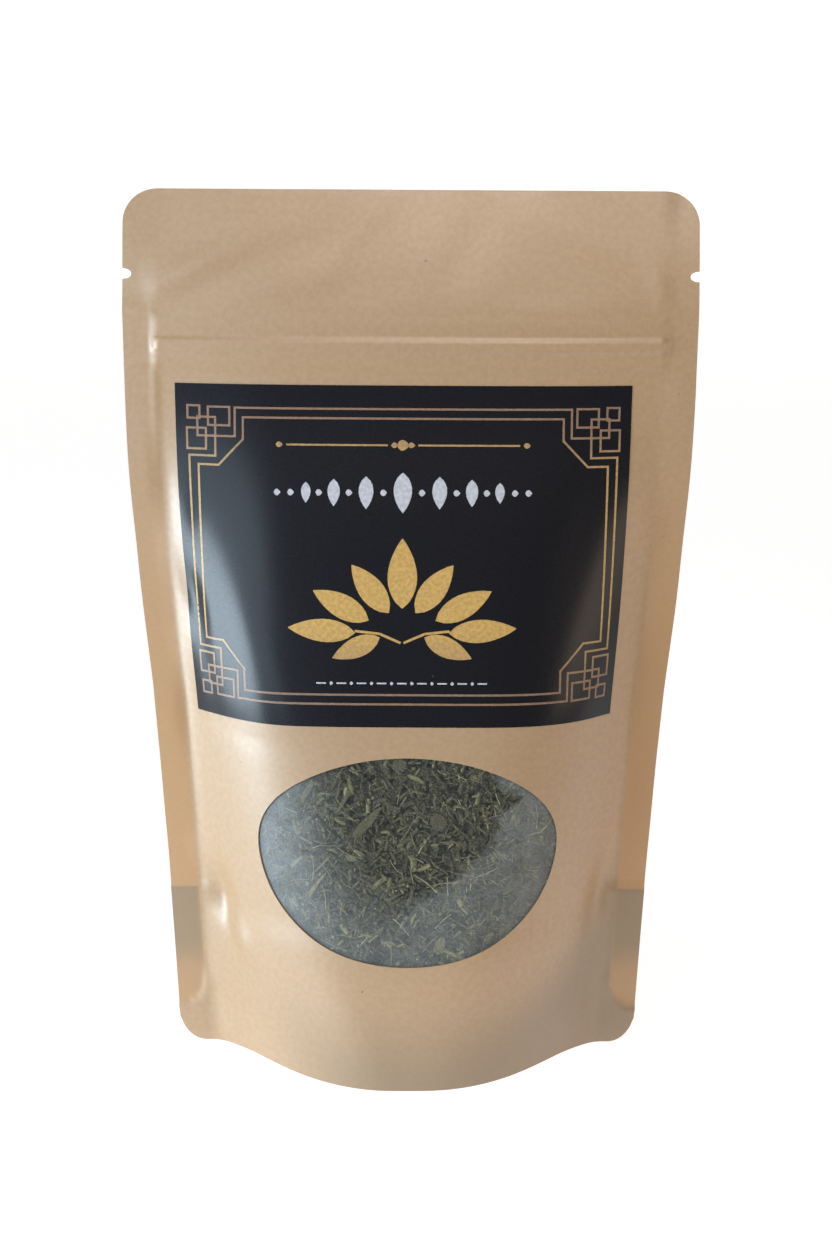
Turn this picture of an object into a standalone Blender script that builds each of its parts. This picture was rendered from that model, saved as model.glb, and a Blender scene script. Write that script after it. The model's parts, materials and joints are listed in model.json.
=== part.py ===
"""A kraft paper stand-up pouch of dried, crumbled lemon balm, with a window, a label and a zip.

Metres, +Z up. The front faces -Y. The origin is on the surface the pouch stands on, between its panels.
Each sheet is cut flat, on paper coordinates, and then formed: u runs across from the middle, and v runs
down from the top edge.
"""

import math
import random

import bmesh
import bpy
import numpy as np
from mathutils import Matrix, Vector

MM = 0.001

# The flat paper, as cut
PAPER_WIDTH = 127 * MM
PAPER_HEIGHT = 204 * MM
SIDE_SEAL = 7 * MM
TOP_CORNER_RADIUS = 7.5 * MM
BOTTOM_CORNER_WIDTH = 6.5 * MM
BOTTOM_CORNER_HEIGHT = 8.5 * MM
NOTCH_FROM_TOP = 19.1 * MM
NOTCH_DEPTH = 2.0 * MM
NOTCH_HALF_MOUTH = 1.2 * MM
SHEET = 0.4 * MM
CLEARANCE = 0.3 * MM

# The filled shape: how far the middle of each panel stands out, by distance down the paper
BELLY_STATIONS = (0, 35 * MM, 50 * MM, 75 * MM, 115 * MM, 160 * MM, PAPER_HEIGHT)
BELLY_DEPTHS = (0.4 * MM, 0.6 * MM, 1.0 * MM, 7.7 * MM, 15.5 * MM, 21.4 * MM, 26.4 * MM)
BELLY_SMOOTHING = 7 * MM
# Across, a panel bulges as (1 - t ** flatness) ** taper, from its middle at t = 0 to its side seal at t = 1
BODY_FLATNESS, BASE_FLATNESS = 4.8, 2.6
BODY_TAPER, BASE_TAPER = 1.55, 1.82
BODY_ENDS = 115 * MM
# Above the zip both panels lean back together
HEADER_LEAN = 7 * MM
LEAN_STARTS = 27 * MM
LEAN_POWER = 1.1

# The gusset: one sheet folded in half, its fold upwards, sealed to both panels below a curved line
GUSSET_HALF = 39.5 * MM
GUSSET_TOP = PAPER_HEIGHT - GUSSET_HALF
GUSSET_EDGE = PAPER_WIDTH / 2 - 0.1 * MM
SEAL_ARC_LOW = 8 * MM
SEAL_ARC_SIDE = 37 * MM
SEAL_ARC_POWER = 2.4
SEAL_LIFT = 0.45
FOLD_MIDDLE_HEIGHT = 22 * MM
FOLD_RISE_POWER = 2.2
FOLD_HALF_GAP = 0.35 * MM
FOLD_STEEPNESS = 7
FOLD_STEEPNESS_POWER = 4
CORNER_SPLAY = 1.2 * MM
SPLAY_HEIGHT = 12 * MM
SPLAY_INNER = 40 * MM
SPLAY_WIDTH = 16 * MM
PLY_STEP_ABOVE = 5 * MM
PLY_STEP_LENGTH = 4 * MM

# The window, an oval a little fuller below, and its film
WINDOW_HALF_WIDTH = 35.4 * MM
WINDOW_WIDEST = 147.8 * MM
WINDOW_RISE = 21.5 * MM
WINDOW_DROP = 26.8 * MM
FILM_MARGIN = 6 * MM
FILM_THICKNESS = 0.3 * MM
FILM_GAP = 0.4 * MM

# The label, a 4 by 3 inch sticker put on slightly to the left
LABEL_WIDTH = 101.6 * MM
LABEL_HEIGHT = 76.2 * MM
LABEL_CENTRE = -1.5 * MM
LABEL_TOP = 43 * MM
LABEL_THICKNESS = 0.3 * MM

# The zip: a rib and a groove, each on its own strip
ZIP_FROM_TOP = 34 * MM
ZIP_STRIP_HALF = 5.6 * MM
ZIP_STRIP = 0.3 * MM
ZIP_RIDGE_HALF = 1.3 * MM
ZIP_RIDGE_SLOPE = 1.1 * MM
ZIP_HALF_LENGTH = 54.5 * MM
ZIP_END_GAP = 0.3 * MM
ZIP_FADE = 2.0 * MM
STRIP_BULGE = 0.6 * MM
STRIP_SLOPE = 1.2 * MM
RIDGE_BULGE = 1.25 * MM

# The dried leaf: a heap, and crumbs standing out of it
LEAF_TOP = 100 * MM
LEAF_BOTTOM_GAP = 3 * MM
LEAF_SIDE_GAP = 1.5 * MM
LEAF_INSET = 2.5 * MM
LEAF_BACK_INSET = 1.2 * MM
LEAF_HALF_THICKNESS = 0.6 * MM
CRUMB_COUNT = 105
CRUMB_SPACING = 2.6 * MM
CRUMB_MARGIN = 1 * MM
CRUMB_LENGTHS = (3.2 * MM, 7.0 * MM)
CRUMB_WIDTHS = (1.3 * MM, 2.6 * MM)
CRUMB_TAPER = (0.6, 1.0, 0.4)
CRUMB_CURLS = (0.5 * MM, 1.1 * MM)
CRUMB_SINK = (0.95 * MM, 1.15 * MM)
CRUMB_ROOT = 0.35
CRUMB_THICKNESS = 0.6 * MM
SEED = 7

HALF_WIDTH = PAPER_WIDTH / 2
BELLY_HALF = HALF_WIDTH - SIDE_SEAL
LEAF_HALF = BELLY_HALF - LEAF_SIDE_GAP
FORM_STEP = 0.5 * MM
NORMAL_STEP = 0.4 * MM


def clear_scene():
    for thing in list(bpy.data.objects):
        bpy.data.objects.remove(thing, do_unlink=True)


def smooth_step(x):
    x = np.clip(x, 0, 1)
    return x * x * (3 - 2 * x)


# The formed shape of a panel, worked out once as tables over the paper

def belly_line(stations):
    """How far the middle of a panel stands out at each distance down the paper, smoothed."""
    offsets = np.linspace(-2, 2, 17)
    weights = np.exp(-(offsets**2))
    total = 0
    for offset, weight in zip(offsets * BELLY_SMOOTHING, weights):
        total += weight * np.interp(stations + offset, BELLY_STATIONS, BELLY_DEPTHS)
    return total / weights.sum()


def header_lean(v):
    """How far back the header leans, from nothing above the zip to its most at the top edge."""
    return HEADER_LEAN * np.clip(1 - v / LEAN_STARTS, 0, 1) ** LEAN_POWER


def length_down(slope, down):
    """The height that each distance down a sloping sheet takes."""
    return np.concatenate([[0], np.cumsum(np.sqrt(1 - slope[1:] ** 2) * np.diff(down))])


def form_tables():
    """Down the paper: the height lost at the middle. Over the paper: how far across and out each point goes.

    Paper doesn't stretch, so the wider the belly the nearer its side seals come together.
    """
    down = np.arange(0, PAPER_HEIGHT + FORM_STEP / 2, FORM_STEP)
    depth = belly_line(down)
    lean = np.gradient(header_lean(down), down)
    fall = length_down(np.hypot(np.gradient(depth, down), lean), down)
    side_fall = length_down(lean, down)
    side_fall *= fall[-1] / side_fall[-1]
    towards_base = np.clip((down - BODY_ENDS) / (PAPER_HEIGHT - BODY_ENDS), 0, 1)
    flatness = BODY_FLATNESS + (BASE_FLATNESS - BODY_FLATNESS) * towards_base
    taper = BODY_TAPER + (BASE_TAPER - BODY_TAPER) * towards_base
    share = np.linspace(0, 1, 161)
    across = np.arange(0, HALF_WIDTH + FORM_STEP / 2, FORM_STEP)
    reach, bulge = [], []
    for d, f, e in zip(depth, flatness, taper):
        profile = d * (1 - share**f) ** e
        low, high = BELLY_HALF / 2, BELLY_HALF
        for _ in range(30):
            half = (low + high) / 2
            length = np.hypot(half * np.diff(share), np.diff(profile)).sum()
            low, high = (half, high) if length < BELLY_HALF else (low, half)
        along = np.concatenate([[0], np.cumsum(np.hypot(half * np.diff(share), np.diff(profile)))])
        t = np.interp(across, along, share)
        reach.append(t * half + np.maximum(across - BELLY_HALF, 0))
        bulge.append(d * (1 - t**f) ** e)
    tables = {"down": down, "fall": fall, "side_fall": side_fall}
    return tables | {"reach": np.array(reach), "bulge": np.array(bulge)}


FORM = form_tables()
POUCH_HEIGHT = float(FORM["fall"][-1])


def from_table(name, u, v):
    """A value between the four nearest entries of a table over the paper."""
    table = FORM[name]
    row = min(v / FORM_STEP, table.shape[0] - 1.001)
    column = min(abs(u) / FORM_STEP, table.shape[1] - 1.001)
    i, j = int(row), int(column)
    a, b = row - i, column - j
    top = table[i, j] * (1 - b) + table[i, j + 1] * b
    low = table[i + 1, j] * (1 - b) + table[i + 1, j + 1] * b
    return float(top * (1 - a) + low * a)


def zip_bulge(u, v):
    """The panels pass over the zip's strips, and over the rib and groove at their middle."""
    distance = abs(v - ZIP_FROM_TOP)
    strip = 1 - smooth_step((distance - ZIP_STRIP_HALF) / STRIP_SLOPE)
    ridge = 1 - smooth_step((distance - ZIP_RIDGE_HALF) / ZIP_RIDGE_SLOPE)
    ends = 1 - smooth_step((abs(u) - ZIP_HALF_LENGTH - ZIP_END_GAP) / ZIP_FADE)
    return (STRIP_BULGE * strip + (RIDGE_BULGE - STRIP_BULGE) * ridge) * ends


def height_of(u, v):
    """The height above the table: the middle of a panel slopes, so it loses height where its sides don't."""
    middle = min(1.0, max(0.0, 1 - (abs(u) / HALF_WIDTH) ** 3))
    lost = middle * np.interp(v, FORM["down"], FORM["fall"])
    lost += (1 - middle) * np.interp(v, FORM["down"], FORM["side_fall"])
    return POUCH_HEIGHT - float(lost)


def inner_face(u, v):
    """A point on a panel's inner face, on the front of the pouch, before its header leans back."""
    z = height_of(u, v)
    level = float(np.interp(POUCH_HEIGHT - z, FORM["fall"], FORM["down"]))
    gusset_ply = (SHEET + CLEARANCE) * smooth_step((v - GUSSET_TOP + PLY_STEP_ABOVE) / PLY_STEP_LENGTH)
    splay = CORNER_SPLAY * smooth_step((v - PAPER_HEIGHT + SPLAY_HEIGHT) / SPLAY_HEIGHT)
    splay *= smooth_step((abs(u) - SPLAY_INNER) / SPLAY_WIDTH)
    out = CLEARANCE / 2 + gusset_ply + splay + from_table("bulge", u, level) + zip_bulge(u, v)
    return Vector((math.copysign(from_table("reach", u, level), u), -out, z))


def formed(u, v, outwards=0.0):
    """The same point moved level and square to the sheet, away from the contents."""
    point = inner_face(u, v)
    if not outwards:
        return point
    right = inner_face(min(u + NORMAL_STEP, HALF_WIDTH), v)
    left = inner_face(max(u - NORMAL_STEP, -HALF_WIDTH), v)
    normal = Vector((right.y - left.y, left.x - right.x, 0)).normalized()
    return point + normal * outwards


# Making flat blanks and forming them

def material(name, colour, roughness, metallic=0.0, alpha=1.0):
    made = bpy.data.materials.new(name)
    made.use_nodes = True
    shader = made.node_tree.nodes["Principled BSDF"]
    shader.inputs["Base Color"].default_value = (*colour, 1)
    shader.inputs["Roughness"].default_value = roughness
    shader.inputs["Metallic"].default_value = metallic
    shader.inputs["Alpha"].default_value = alpha
    return made


def object_from(bm, name, collection, finish=None):
    mesh = bpy.data.meshes.new(name)
    bm.to_mesh(mesh)
    bm.free()
    made = bpy.data.objects.new(name, mesh)
    collection.objects.link(made)
    if finish:
        mesh.materials.append(finish)
    return made


def blank(columns, rows):
    """A flat plate of unit thickness with its grid lines at these places."""
    bm = bmesh.new()
    bmesh.ops.create_grid(bm, x_segments=len(columns) - 1, y_segments=len(rows) - 1, size=0.5)
    for vert in bm.verts:
        column = round((vert.co.x + 0.5) * (len(columns) - 1))
        row = round((vert.co.y + 0.5) * (len(rows) - 1))
        vert.co = (columns[column], rows[row], 0)
    raised = bmesh.ops.extrude_face_region(bm, geom=bm.faces[:])["geom"]
    bmesh.ops.translate(bm, vec=(0, 0, 1), verts=[g for g in raised if isinstance(g, bmesh.types.BMVert)])
    bmesh.ops.recalc_face_normals(bm, faces=bm.faces[:])
    return bm


def prism(name, outline, low, high, collection, finish=None):
    """A flat outline given thickness: a filled curve, made a mesh and welded."""
    curve = bpy.data.curves.new(name, "CURVE")
    curve.dimensions = "2D"
    curve.fill_mode = "BOTH"
    curve.extrude = (high - low) / 2
    spline = curve.splines.new("POLY")
    spline.points.add(len(outline) - 1)
    for point, (u, v) in zip(spline.points, outline):
        point.co = (u, v, 0, 1)
    spline.use_cyclic_u = True
    drawn = bpy.data.objects.new(name, curve)
    collection.objects.link(drawn)
    graph = bpy.context.evaluated_depsgraph_get()
    mesh = bpy.data.meshes.new_from_object(drawn.evaluated_get(graph))
    bpy.data.objects.remove(drawn, do_unlink=True)
    bm = bmesh.new()
    bm.from_mesh(mesh)
    bmesh.ops.remove_doubles(bm, verts=bm.verts[:], dist=0.001 * MM)
    bmesh.ops.translate(bm, vec=(0, 0, (high + low) / 2), verts=bm.verts[:])
    if bm.calc_volume(signed=True) < 0:
        bmesh.ops.reverse_faces(bm, faces=bm.faces[:])
    return object_from(bm, name, collection, finish)


def cut(target, cutter, operation):
    """Applies one Boolean with the exact solver, and returns the target's new mesh to it."""
    cutter.hide_render = True
    cutter.display_type = "WIRE"
    modifier = target.modifiers.new("cut", "BOOLEAN")
    modifier.operation = operation
    modifier.object = cutter
    graph = bpy.context.evaluated_depsgraph_get()
    done = bpy.data.meshes.new_from_object(target.evaluated_get(graph))
    target.modifiers.clear()
    target.data = done
    bpy.data.objects.remove(cutter, do_unlink=True)


def form(target, place):
    """Moves each vertex of a flat plate to place(u, v, w), triangulated first so that no face is bent."""
    bm = bmesh.new()
    bm.from_mesh(target.data)
    bmesh.ops.dissolve_degenerate(bm, dist=0.01 * MM, edges=bm.edges[:])
    bmesh.ops.triangulate(bm, faces=bm.faces[:])
    for vert in bm.verts:
        vert.co = place(*vert.co)
    if bm.calc_volume(signed=True) < 0:
        bmesh.ops.reverse_faces(bm, faces=bm.faces[:])
    bm.to_mesh(target.data)
    bm.free()
    target.data.shade_smooth()
    target.data.set_sharp_from_angle(angle=math.radians(40))


def spread(low, high, pieces):
    return list(np.linspace(low, high, pieces + 1))


def arc(centre, radii, start, stop, pieces):
    """Points round part of an ellipse, given its half width and half height."""
    angles = np.radians(np.linspace(start, stop, pieces + 1))
    return [(centre[0] + radii[0] * math.cos(a), centre[1] + radii[1] * math.sin(a)) for a in angles]


def panel_outline():
    """The panel as cut, with rounded corners and a tear notch in each side."""
    top, side = TOP_CORNER_RADIUS, HALF_WIDTH
    low_corner = (side - BOTTOM_CORNER_WIDTH, PAPER_HEIGHT - BOTTOM_CORNER_HEIGHT)
    right = arc((side - top, top), (top, top), -90, 0, 6)
    right += arc((side, NOTCH_FROM_TOP), (NOTCH_DEPTH, NOTCH_HALF_MOUTH), 270, 90, 4)
    right += arc(low_corner, (BOTTOM_CORNER_WIDTH, BOTTOM_CORNER_HEIGHT), 0, 90, 6)
    return right + [(-u, v) for u, v in reversed(right)]


def window_outline(margin=0.0, pieces=48):
    points = []
    for angle in np.linspace(0, 2 * math.pi, pieces, endpoint=False):
        u, v = math.cos(angle), math.sin(angle)
        tall = (WINDOW_DROP if v > 0 else WINDOW_RISE) + margin
        points.append((u * (WINDOW_HALF_WIDTH + margin), WINDOW_WIDEST + v * tall))
    return points


# The grid lines of the sheets, closer where a sheet bends more
SIDE_LINES = [54.8 * MM, 57 * MM, 60 * MM]
BEND_COLUMNS = [*(-x for x in reversed(SIDE_LINES)), *spread(-49.5 * MM, 49.5 * MM, 12), *SIDE_LINES]
PANEL_COLUMNS = [-66 * MM, *BEND_COLUMNS, 66 * MM]
HEADER_ROWS = spread(-2 * MM, LEAN_STARTS - 2 * MM, 4)
ZIP_LINES = (-6.8 * MM, -5.6 * MM, -2.4 * MM, -1.3 * MM, 1.3 * MM, 2.4 * MM, 5.6 * MM, 6.8 * MM)
ZIP_ROWS = [ZIP_FROM_TOP + line for line in ZIP_LINES]
BODY_ROWS = [*spread(48 * MM, GUSSET_TOP - 6 * MM, 12), GUSSET_TOP - 3.5 * MM, GUSSET_TOP - 1 * MM]
BASE_ROWS = [*spread(GUSSET_TOP + 6.5 * MM, PAPER_HEIGHT - SPLAY_HEIGHT, 3), 198 * MM, 206 * MM]
PANEL_ROWS = [*HEADER_ROWS, *ZIP_ROWS, *BODY_ROWS, *BASE_ROWS]


def within(lines, low, high):
    """The grid lines between two edges, and the edges, so that sheets laid on each other bend alike."""
    return [low, *(x for x in lines if low + 1.5 * MM < x < high - 1.5 * MM), high]


def make_panel(name, side, windowed, collection, finish):
    """Front (side -1) or back (side 1): cut flat, then formed as a sheet whose inner face is the form's."""
    panel = object_from(blank(PANEL_COLUMNS, PANEL_ROWS), name, collection, finish)
    cut(panel, prism(name + "_outline", panel_outline(), -1, 2, collection), "INTERSECT")
    if windowed:
        cut(panel, prism(name + "_window", window_outline(), -1, 2, collection), "DIFFERENCE")

    def place(u, v, w):
        point = formed(u, v, SHEET * w)
        return Vector((point.x, -side * point.y + header_lean(v), point.z))

    form(panel, place)
    return panel


def make_window_film(collection, finish):
    """The clear film laminated behind the window, wider than it all round."""
    columns = within(PANEL_COLUMNS, -44 * MM, 44 * MM)
    rows = within(PANEL_ROWS, WINDOW_WIDEST - 30 * MM, WINDOW_WIDEST + 35 * MM)
    film = object_from(blank(columns, rows), "window_film", collection, finish)
    cut(film, prism("film_outline", window_outline(FILM_MARGIN, 36), -1, 2, collection), "INTERSECT")
    form(film, lambda u, v, w: formed(u, v, -FILM_GAP - FILM_THICKNESS * (1 - w)))
    return film


def make_label(collection, finish):
    """The sticker, laid on the front panel's outer face."""
    left = LABEL_CENTRE - LABEL_WIDTH / 2
    columns = within(PANEL_COLUMNS, left, left + LABEL_WIDTH)
    rows = within(PANEL_ROWS, LABEL_TOP, LABEL_TOP + LABEL_HEIGHT)
    label = object_from(blank(columns, rows), "label", collection, finish)
    form(label, lambda u, v, w: formed(u, v, SHEET + CLEARANCE + LABEL_THICKNESS * w))
    return label


# The gusset

def seal_arc(u):
    """How far above the bottom edge the gusset is sealed to a panel: lowest in the middle."""
    share = min(1.0, abs(u) / BELLY_HALF)
    return SEAL_ARC_LOW + (SEAL_ARC_SIDE - SEAL_ARC_LOW) * share**SEAL_ARC_POWER


def corner_start(u):
    """How far above the bottom edge the gusset starts, where the corner is rounded."""
    into = np.clip((abs(u) - HALF_WIDTH + BOTTOM_CORNER_WIDTH) / BOTTOM_CORNER_WIDTH, 0, 0.95)
    return BOTTOM_CORNER_HEIGHT * (1 - math.sqrt(1 - into**2))


def gusset_middle(u, sealed, free):
    """A point midway through the front half of the gusset, sealed up to the arc and free above it."""
    start, top = corner_start(u), seal_arc(u)
    inset = -CLEARANCE - SHEET / 2
    if not free:
        return formed(u, PAPER_HEIGHT - (start + (top - start) * sealed), inset)
    seal = formed(u, PAPER_HEIGHT - top, inset)
    side = formed(math.copysign(HALF_WIDTH, u), GUSSET_TOP).z
    share = min(1.0, abs(u) / BELLY_HALF)
    fold_height = side - (side - FOLD_MIDDLE_HEIGHT) * (1 - share**FOLD_RISE_POWER)
    fold_across = formed(u, GUSSET_TOP).x
    steepness = 1 + FOLD_STEEPNESS * share**FOLD_STEEPNESS_POWER
    y = 0.0
    if free < 1:
        y = min(seal.y * (1 - free**steepness), -FOLD_HALF_GAP)
    return Vector((seal.x + (fold_across - seal.x) * free, y, seal.z + (fold_height - seal.z) * free))


# The rows of half the gusset: shares of its sealed part, and then of its free part
SEALED_SHARES = [(share, 0.0) for share in (0.0, 0.16, 0.33, 1.0)]
GUSSET_SHARES = SEALED_SHARES + [(1.0, share) for share in (0.22, 0.45, 0.68, 0.88, 1.0)]
GUSSET_COLUMNS = [-GUSSET_EDGE, *BEND_COLUMNS, GUSSET_EDGE]
SHARE_STEP = 0.03


def gusset_point(u, row, outwards):
    """Rows count from the front bottom edge over the fold to the back one. Outwards is into the pouch."""
    fold = len(GUSSET_SHARES) - 1
    index = int(round(row))
    front = index <= fold
    shares = GUSSET_SHARES[index if front else 2 * fold - index]
    point = gusset_middle(u, *shares)
    if shares[1] == 1.0:
        return point + Vector((0, 0, outwards))
    along = gusset_middle(min(u + NORMAL_STEP, GUSSET_EDGE), *shares)
    along -= gusset_middle(max(u - NORMAL_STEP, -GUSSET_EDGE), *shares)
    if shares[1] == 0.0:
        normal = Vector((along.y, -along.x, 0)).normalized()
        if shares[0] == 1.0:
            normal = (normal + Vector((0, 0, SEAL_LIFT))).normalized()
    else:
        up = gusset_middle(u, 1.0, shares[1] + SHARE_STEP) - gusset_middle(u, 1.0, shares[1] - SHARE_STEP)
        normal = along.cross(up).normalized()
    point = point + normal * outwards
    return point if front else Vector((point.x, -point.y, point.z))


def make_gusset(collection, finish):
    rows = list(range(2 * len(GUSSET_SHARES) - 1))
    gusset = object_from(blank(GUSSET_COLUMNS, rows), "bottom_gusset", collection, finish)
    form(gusset, lambda u, row, w: gusset_point(u, row, SHEET * (w - 0.5)))
    return gusset


# The zip

def strip_outline():
    """Across one zip strip: distances down from its middle, and out from between the panels."""
    low = CLEARANCE / 2 + STRIP_BULGE - CLEARANCE
    high = CLEARANCE / 2 + RIDGE_BULGE - CLEARANCE
    flat, ridge = ZIP_STRIP_HALF, ZIP_RIDGE_HALF
    slope_end = ridge + ZIP_RIDGE_SLOPE
    outer = [(-flat, low), (-slope_end, low), (-ridge, high), (ridge, high), (slope_end, low), (flat, low)]
    return outer, low - ZIP_STRIP, high - ZIP_STRIP


def make_zip(name, side, teeth, collection, finish):
    """A strip drawn out along the zip, with its rib, or the two lips of its groove, on its inner face."""
    outer, low, high = strip_outline()
    flat, ridge = ZIP_STRIP_HALF, ZIP_RIDGE_HALF - 0.1 * MM
    slope_end = ZIP_RIDGE_HALF + ZIP_RIDGE_SLOPE
    inner = [(flat, low), (slope_end, low), (ridge, high), *teeth(high)]
    inner += [(-ridge, high), (-slope_end, low), (-flat, low)]
    strip = prism(name, outer + inner, -ZIP_HALF_LENGTH, ZIP_HALF_LENGTH, collection, finish)
    middle = POUCH_HEIGHT - float(np.interp(ZIP_FROM_TOP, FORM["down"], FORM["fall"]))
    form(strip, lambda down, out, along: Vector((along, side * out, middle - down)))
    return strip


def rib_teeth(base):
    """A neck with a wider head, reaching past the middle plane into the groove."""
    neck, head = 0.2 * MM, 0.4 * MM
    neck_end, head_end, tip = -0.05 * MM, -0.15 * MM, -0.45 * MM
    lower = [(neck, base), (neck, neck_end), (head, head_end)]
    return [*lower, (0, tip), *((-down, out) for down, out in reversed(lower))]


def groove_teeth(base):
    """Two lips either side of the rib, and clear of it."""
    inner, outer, reach = 0.72 * MM, 1.15 * MM, -0.15 * MM
    lower = [(outer, base), (outer, reach), (inner, reach), (inner, base)]
    return lower + [(-down, out) for down, out in reversed(lower)]


# The dried leaf

def leaf_face(t, v, inset):
    """A point on the front of the heap, from one side seal (t = -1) to the other (t = 1)."""
    point = formed(t * LEAF_HALF, v)
    gusset_ply = SHEET + CLEARANCE if v > GUSSET_TOP - PLY_STEP_ABOVE else 0.0
    return Vector((point.x, min(point.y + gusset_ply + inset, -LEAF_HALF_THICKNESS), point.z))


def make_leaf_core(collection, finish):
    """The heap: what the panels enclose up to the filling line, less the space under the gusset."""
    columns = spread(-0.93, 0.93, 14)
    rows = spread(LEAF_TOP, PAPER_HEIGHT - LEAF_BOTTOM_GAP, 13)
    core = object_from(blank(columns, rows), "dried_leaf", collection, finish)

    def place(t, v, w):
        point = leaf_face(t, v, LEAF_INSET if w > 0.5 else LEAF_BACK_INSET)
        return point if w > 0.5 else Vector((point.x, -point.y, point.z))

    form(core, place)
    cut(core, make_tent(collection), "DIFFERENCE")
    return core


def make_tent(collection):
    """What the heap leaves clear: the space under the gusset, widened past its seals and below the table."""
    apron, floor, half_width = 6 * MM, -10 * MM, 56.3 * MM
    first, last = 1, 2 * len(GUSSET_SHARES) - 3
    rows = list(range(first, last + 1))
    tent = object_from(blank(spread(-half_width, half_width, 18), rows), "tent", collection)

    def place(u, row, w):
        index = int(round(row))
        widened = {first: -apron, last: apron}.get(index, 0.0)
        point = gusset_point(u, min(max(index, first + 1), last - 1), SHEET / 2 + CLEARANCE)
        return Vector((point.x, point.y + widened, floor if w < 0.5 else point.z))

    form(tent, place)
    return tent


def make_crumb(rng, u, v):
    """One crumb: a thin strip, curled along its length, its root in the heap and its tip near the film."""
    bm = bmesh.new()
    length, width = rng.uniform(*CRUMB_LENGTHS), rng.uniform(*CRUMB_WIDTHS)
    curl, sink = rng.uniform(*CRUMB_CURLS), rng.uniform(*CRUMB_SINK)
    bmesh.ops.create_grid(bm, x_segments=2, y_segments=1, size=0.5)
    for vert in bm.verts:
        along = vert.co.x + 0.5
        taper = CRUMB_TAPER[round(along * 2)]
        lift = curl * math.sin(math.pi * (0.15 + 0.6 * along))
        vert.co = (length * (along - CRUMB_ROOT), width * taper * vert.co.y, lift)
    raised = bmesh.ops.extrude_face_region(bm, geom=bm.faces[:])["geom"]
    top = [g for g in raised if isinstance(g, bmesh.types.BMVert)]
    bmesh.ops.translate(bm, vec=(0, 0, CRUMB_THICKNESS), verts=top)
    bmesh.ops.transform(bm, matrix=Matrix.Rotation(rng.uniform(0, 2 * math.pi), 4, "Z"), verts=bm.verts[:])
    highest = LEAF_INSET - FILM_GAP - FILM_THICKNESS - CLEARANCE
    for vert in bm.verts:
        at_u, at_v = u + vert.co.x, v + vert.co.y
        core = leaf_face(at_u / LEAF_HALF, at_v, LEAF_INSET)
        vert.co = Vector((core.x, core.y - min(vert.co.z - sink, highest), core.z))
    bmesh.ops.triangulate(bm, faces=bm.faces[:])
    bmesh.ops.recalc_face_normals(bm, faces=bm.faces[:])
    return bm


def make_dried_leaf(collection, finish):
    """The heap with its crumbs standing out of it where the window shows them."""
    core = make_leaf_core(collection, finish)
    crumbs = bpy.data.collections.new("crumbs")
    bpy.context.scene.collection.children.link(crumbs)
    rng = random.Random(SEED)
    placed = []
    half_width = WINDOW_HALF_WIDTH + CRUMB_MARGIN
    while len(placed) < CRUMB_COUNT:
        u = rng.uniform(-half_width, half_width)
        v = WINDOW_WIDEST + rng.uniform(-WINDOW_RISE, WINDOW_DROP)
        tall = WINDOW_DROP if v > WINDOW_WIDEST else WINDOW_RISE
        inside = math.hypot(u / half_width, (v - WINDOW_WIDEST) / tall) < 1
        if inside and all(math.hypot(u - a, v - b) > CRUMB_SPACING for a, b in placed):
            placed.append((u, v))
    for number, (u, v) in enumerate(placed):
        object_from(make_crumb(rng, u, v), f"crumb_{number}", crumbs)
    modifier = core.modifiers.new("crumbs", "BOOLEAN")
    modifier.operation = "UNION"
    modifier.operand_type = "COLLECTION"
    modifier.collection = crumbs
    modifier.solver = "MANIFOLD"
    graph = bpy.context.evaluated_depsgraph_get()
    joined = bpy.data.meshes.new_from_object(core.evaluated_get(graph))
    core.modifiers.clear()
    core.data = joined
    for crumb in list(crumbs.objects):
        bpy.data.objects.remove(crumb, do_unlink=True)
    bpy.data.collections.remove(crumbs)
    return core


def build():
    clear_scene()
    pouch = bpy.data.collections.new("herb_pouch")
    bpy.context.scene.collection.children.link(pouch)
    kraft = material("kraft_paper", (0.50, 0.33, 0.19), 0.6)
    film = material("window_film", (0.55, 0.62, 0.66), 0.35, alpha=0.35)
    sticker = material("label_black", (0.012, 0.013, 0.018), 0.4)
    plastic = material("zip_plastic", (0.80, 0.80, 0.78), 0.4)
    herb = material("dried_leaf", (0.085, 0.095, 0.045), 0.9)
    make_panel("front_panel", -1, True, pouch, kraft)
    make_panel("back_panel", 1, False, pouch, kraft)
    make_gusset(pouch, kraft)
    make_window_film(pouch, film)
    make_label(pouch, sticker)
    make_zip("zip_rib", -1, rib_teeth, pouch, plastic)
    make_zip("zip_groove", 1, groove_teeth, pouch, plastic)
    make_dried_leaf(pouch, herb)


build()
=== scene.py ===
import json
import math
import random

import bmesh
import bpy
import numpy as np
from mathutils import Matrix, Vector

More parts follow.
